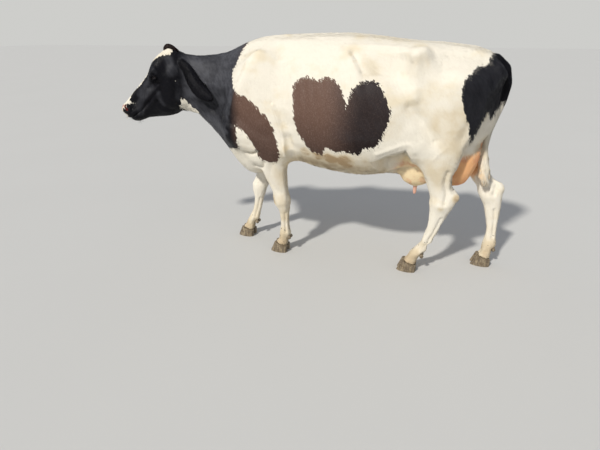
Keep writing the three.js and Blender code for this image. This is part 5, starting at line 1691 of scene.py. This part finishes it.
class COW_OT_tail_switch(CowOperator, bpy.types.Operator):
    """The long white locks at the end of her tail"""

    bl_idname = "cow.tail_switch"
    bl_label = "Tail switch"

    def execute(self, context):
        count = how_many(context.scene.cow_coat.switch_locks)
        chance = np.random.default_rng(SEED * 1000)
        points = node_points("tail_switch")
        low, high = points[:, 2].min(), points[:, 2].max()
        levels = np.linspace(high, low, 9)
        middles, radii = [], []
        for level in levels:
            near = points[np.abs(points[:, 2] - level) < SLICE]
            middles.append((near.min(0) + near.max(0))[:2] / 2)
            radii.append((near.max(0) - near.min(0))[:2].mean() / 2)
        radii[-1] = 0.004
        rings = 8
        t = np.linspace(0, 1, rings + 1)[None, :]
        start = high + 0.1 - chance.uniform(0.0, 0.2, count)[:, None]
        end = low + 0.006 + chance.exponential(0.035, count)[:, None]
        level = start + (np.minimum(end, start - 0.1) - start) * t
        turn = chance.uniform(0, 2 * math.pi, count)[:, None] + chance.normal(0, 0.5, (count, 1)) * t
        share = np.sqrt(chance.uniform(0.05, 1.0, count))[:, None]
        radius = np.interp(level, levels[::-1], radii[::-1]) * share * (0.55 + 0.45 * steps(t, 0, 0.35))
        x, y = (np.interp(level, levels[::-1], np.array(middles)[::-1, axis]) for axis in (0, 1))
        wave = 0.004 * np.sin(level * 60 + turn * 3) * t
        lines = np.stack([x + radius * np.cos(turn) + wave, y + radius * np.sin(turn), level], 2)
        first = turn[:, 0]
        normals = unit(np.stack([np.cos(first), np.sin(first), np.full(count, 0.05)], 1))
        roots = roots_at(Hide(), lines[:, 0], normals)
        roots["black"][:] = -0.05
        roots["down"][:] = 1.0
        roots["soil_and_shade"][:] = 0.0
        widths = tuft_widths(LOCK * chance.uniform(0.5, 1.3, count), rings)
        piece = build_locks("switch_locks", roots, lines, widths, 0.5, 0.6)
        self.finished(piece, hair_material(context.scene.cow_colours), "white_coat", ("tail_switch",))
        return {"FINISHED"}


class COW_OT_lashes(CowOperator, bpy.types.Operator):
    """Lashes on the upper lids, and whiskers on the muzzle and chin"""

    bl_idname = "cow.lashes"
    bl_label = "Lashes and whiskers"

    LASHES, LASH_LONG, LASH_HALF = 34, 0.012, 0.00035        # lashes on a lid, and a lash's size
    WHISKERS_EACH, WHISKER_LONG, WHISKER_HALF = 7, (0.016, 0.032), 0.0003

    # Where the whiskers stand, in the head's frame.
    WHISKERS = ((0.5, 0.03, -0.095), (0.47, 0.046, -0.1), (0.49, 0.015, -0.128),
                (0.505, 0.034, -0.055))

    def execute(self, context):
        hide = Hide()
        chance = np.random.default_rng(SEED * 10000)
        starts, ends, halves = [], [], []
        for name, side in SIDES:
            slit, up, out = eye_axes(side)
            for share in np.linspace(-0.85, 0.85, self.LASHES):
                a = share * LID_HALF_LENGTH + chance.normal(0, 0.0003)
                b = LID_HALF_HEIGHT * (1 - share**2) ** SLIT_SHAPE + 0.0008
                h = math.sqrt(max((EYE_RADIUS + LID_THICKNESS) ** 2 - a * a - b * b, 1e-6))
                root = EYE_CENTRES[name] + slit * a + up * b + out * (h - 0.0008)
                starts.append(root)
                rise = 0.002 + chance.normal(0, 0.001)
                ends.append(root + out * self.LASH_LONG + up * rise + slit * a * 0.35)
                halves.append(self.LASH_HALF)
        drop = np.array((0.0, 0.0, -0.4))
        for _, side in SIDES:
            for place in self.WHISKERS:
                for _ in range(self.WHISKERS_EACH):
                    spot = np.array(place) * (1, side, 1) + chance.normal(0, 0.008, 3)
                    (ground,), (out,) = hide.ground(from_head(spot)[None])
                    way = unit(out + drop + HEAD_AXES[0] * 0.4)
                    starts.append(ground - out * 0.001)
                    ends.append(ground + way * chance.uniform(*self.WHISKER_LONG))
                    halves.append(self.WHISKER_HALF)
        starts, ends, halves = np.array(starts), np.array(ends), np.array(halves)
        lines = np.stack([starts, (starts + ends) / 2 + (0, 0, 0.001), ends], 1)
        roots = roots_at(hide, starts, unit(np.cross(ends - starts, np.array((0.3, 0.2, 1.0)))))
        roots["black"][:] = 0.05
        roots["warm"][:] = 0.0
        piece = build_locks("lashes", roots, lines, tuft_widths(halves, 2), 1.0)
        self.finished(piece, hair_material(context.scene.cow_colours), "black_coat")
        return {"FINISHED"}


# ---- Stage --------------------------------------------------------------------------------------------

# Soft lights, each from a far way off: name, where it shines from, strength, and how wide it looks.
LIGHTS = (
    ("key", (-0.36, -0.95, 0.92), 2.95, 4.0),
    ("fill", (0.9, -0.7, 0.5), 0.12, 40.0),
)
WARMTH = (1.0, 0.965, 0.9)
FLOOR_SIZE = 120.0
SKY = ((0.37, 0.385, 0.42), (0.615, 0.615, 0.595))        # the light all round, and what is seen behind


class COW_OT_stage(CowOperator, bpy.types.Operator):
    """A plain pale floor, soft lights and the camera"""

    bl_idname = "cow.stage"
    bl_label = "Stage"

    def execute(self, context):
        stage = context.scene.cow_stage
        deselect()
        bpy.ops.mesh.primitive_plane_add(size=FLOOR_SIZE, location=(0, 0, 0))
        floor = bpy.context.object
        floor.name = "floor"
        shader = Shader("floor")
        tone = shader.mix(shader.noise(0.8, 3.0), tuple(stage.floor), tuple(c * 0.97 for c in stage.floor))
        shader.set(Base_Color=tone, Roughness=0.9, Specular_IOR_Level=0.2)
        floor.data.materials.append(shader.material)
        floor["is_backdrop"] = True
        for name, source, strength, width in LIGHTS:
            self.light(name, source, strength, width)
        self.sky()
        self.camera(stage)
        context.scene.view_settings.view_transform = "Standard"
        return {"FINISHED"}

    def light(self, name, source, strength, width):
        """One soft far light."""
        lamp = bpy.data.lights.new(name, "SUN")
        lamp.energy, lamp.angle, lamp.color = strength, math.radians(width), WARMTH
        holder = bpy.data.objects.new(name, lamp)
        holder.rotation_euler = Vector(source).to_track_quat("Z", "Y").to_euler()
        holder.location = Vector(source) * 5
        bpy.context.collection.objects.link(holder)

    def sky(self):
        """Even light from all round, and a plain pale wall of the floor's tone behind."""
        world = bpy.context.scene.world or bpy.data.worlds.new("World")
        bpy.context.scene.world = world
        world.use_nodes = True
        nodes, links = world.node_tree.nodes, world.node_tree.links
        light, wall = nodes["Background"], nodes.new("ShaderNodeBackground")
        light.inputs["Color"].default_value = (*SKY[0], 1.0)
        wall.inputs["Color"].default_value = (*SKY[1], 1.0)
        seen, both = nodes.new("ShaderNodeLightPath"), nodes.new("ShaderNodeMixShader")
        links.new(seen.outputs["Is Camera Ray"], both.inputs[0])
        links.new(light.outputs[0], both.inputs[1])
        links.new(wall.outputs[0], both.inputs[2])
        links.new(both.outputs[0], nodes["World Output"].inputs["Surface"])

    def camera(self, stage):
        """The camera."""
        lens = bpy.data.cameras.new("camera")
        lens.lens, lens.sensor_width = stage.lens, 36.0
        lens.clip_start, lens.clip_end = 0.05, 200.0
        holder = bpy.data.objects.new("camera", lens)
        holder.location = stage.place
        holder.rotation_euler = (math.pi / 2 - stage.pitch, 0.0, stage.yaw)
        bpy.context.collection.objects.link(holder)
        bpy.context.scene.camera = holder


class COW_PT_panel(bpy.types.Panel):
    """The cow's sizes, colours and pieces"""

    bl_label = "Cow"
    bl_idname = "COW_PT_panel"
    bl_space_type = "VIEW_3D"
    bl_region_type = "UI"
    bl_category = "Cow"

    def draw(self, context):
        """Sizes and colours in boxes, and a button for each operator."""
        for group in (context.scene.cow_skin, context.scene.cow_coat, context.scene.cow_colours,
                      context.scene.cow_stage):
            box = self.layout.box()
            for name in group.__annotations__:
                box.prop(group, name)
        for operator in OPERATORS:
            self.layout.operator(operator.bl_idname)


OPERATORS = (COW_OT_skin, COW_OT_eyes, COW_OT_claws, COW_OT_coat, COW_OT_fringes, COW_OT_poll_tuft,
             COW_OT_tail_switch, COW_OT_lashes, COW_OT_stage)
GROUPS = {"cow_skin": CowSkinSizes, "cow_coat": CowCoatSizes, "cow_colours": CowColours,
          "cow_stage": CowStage}


def register():
    """Makes her properties, operators and panel known to Blender."""
    for kind in (*GROUPS.values(), *OPERATORS, COW_PT_panel):
        bpy.utils.register_class(kind)
    for name, kind in GROUPS.items():
        setattr(bpy.types.Scene, name, bpy.props.PointerProperty(type=kind))


def unregister():
    """Takes them out again."""
    for name in GROUPS:
        delattr(bpy.types.Scene, name)
    for kind in (COW_PT_panel, *reversed(OPERATORS), *reversed(GROUPS.values())):
        bpy.utils.unregister_class(kind)


def main():
    """Builds her from first to last."""
    register()
    bpy.ops.cow.skin()
    bpy.ops.cow.eyes()
    bpy.ops.cow.claws()
    bpy.ops.cow.coat()
    bpy.ops.cow.fringes()
    bpy.ops.cow.poll_tuft()
    bpy.ops.cow.tail_switch()
    bpy.ops.cow.lashes()
    bpy.ops.cow.stage()
    [[list(corner) for corner in box] for box in (CAD_BOX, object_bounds())]


if __name__ == "__main__":
    main()
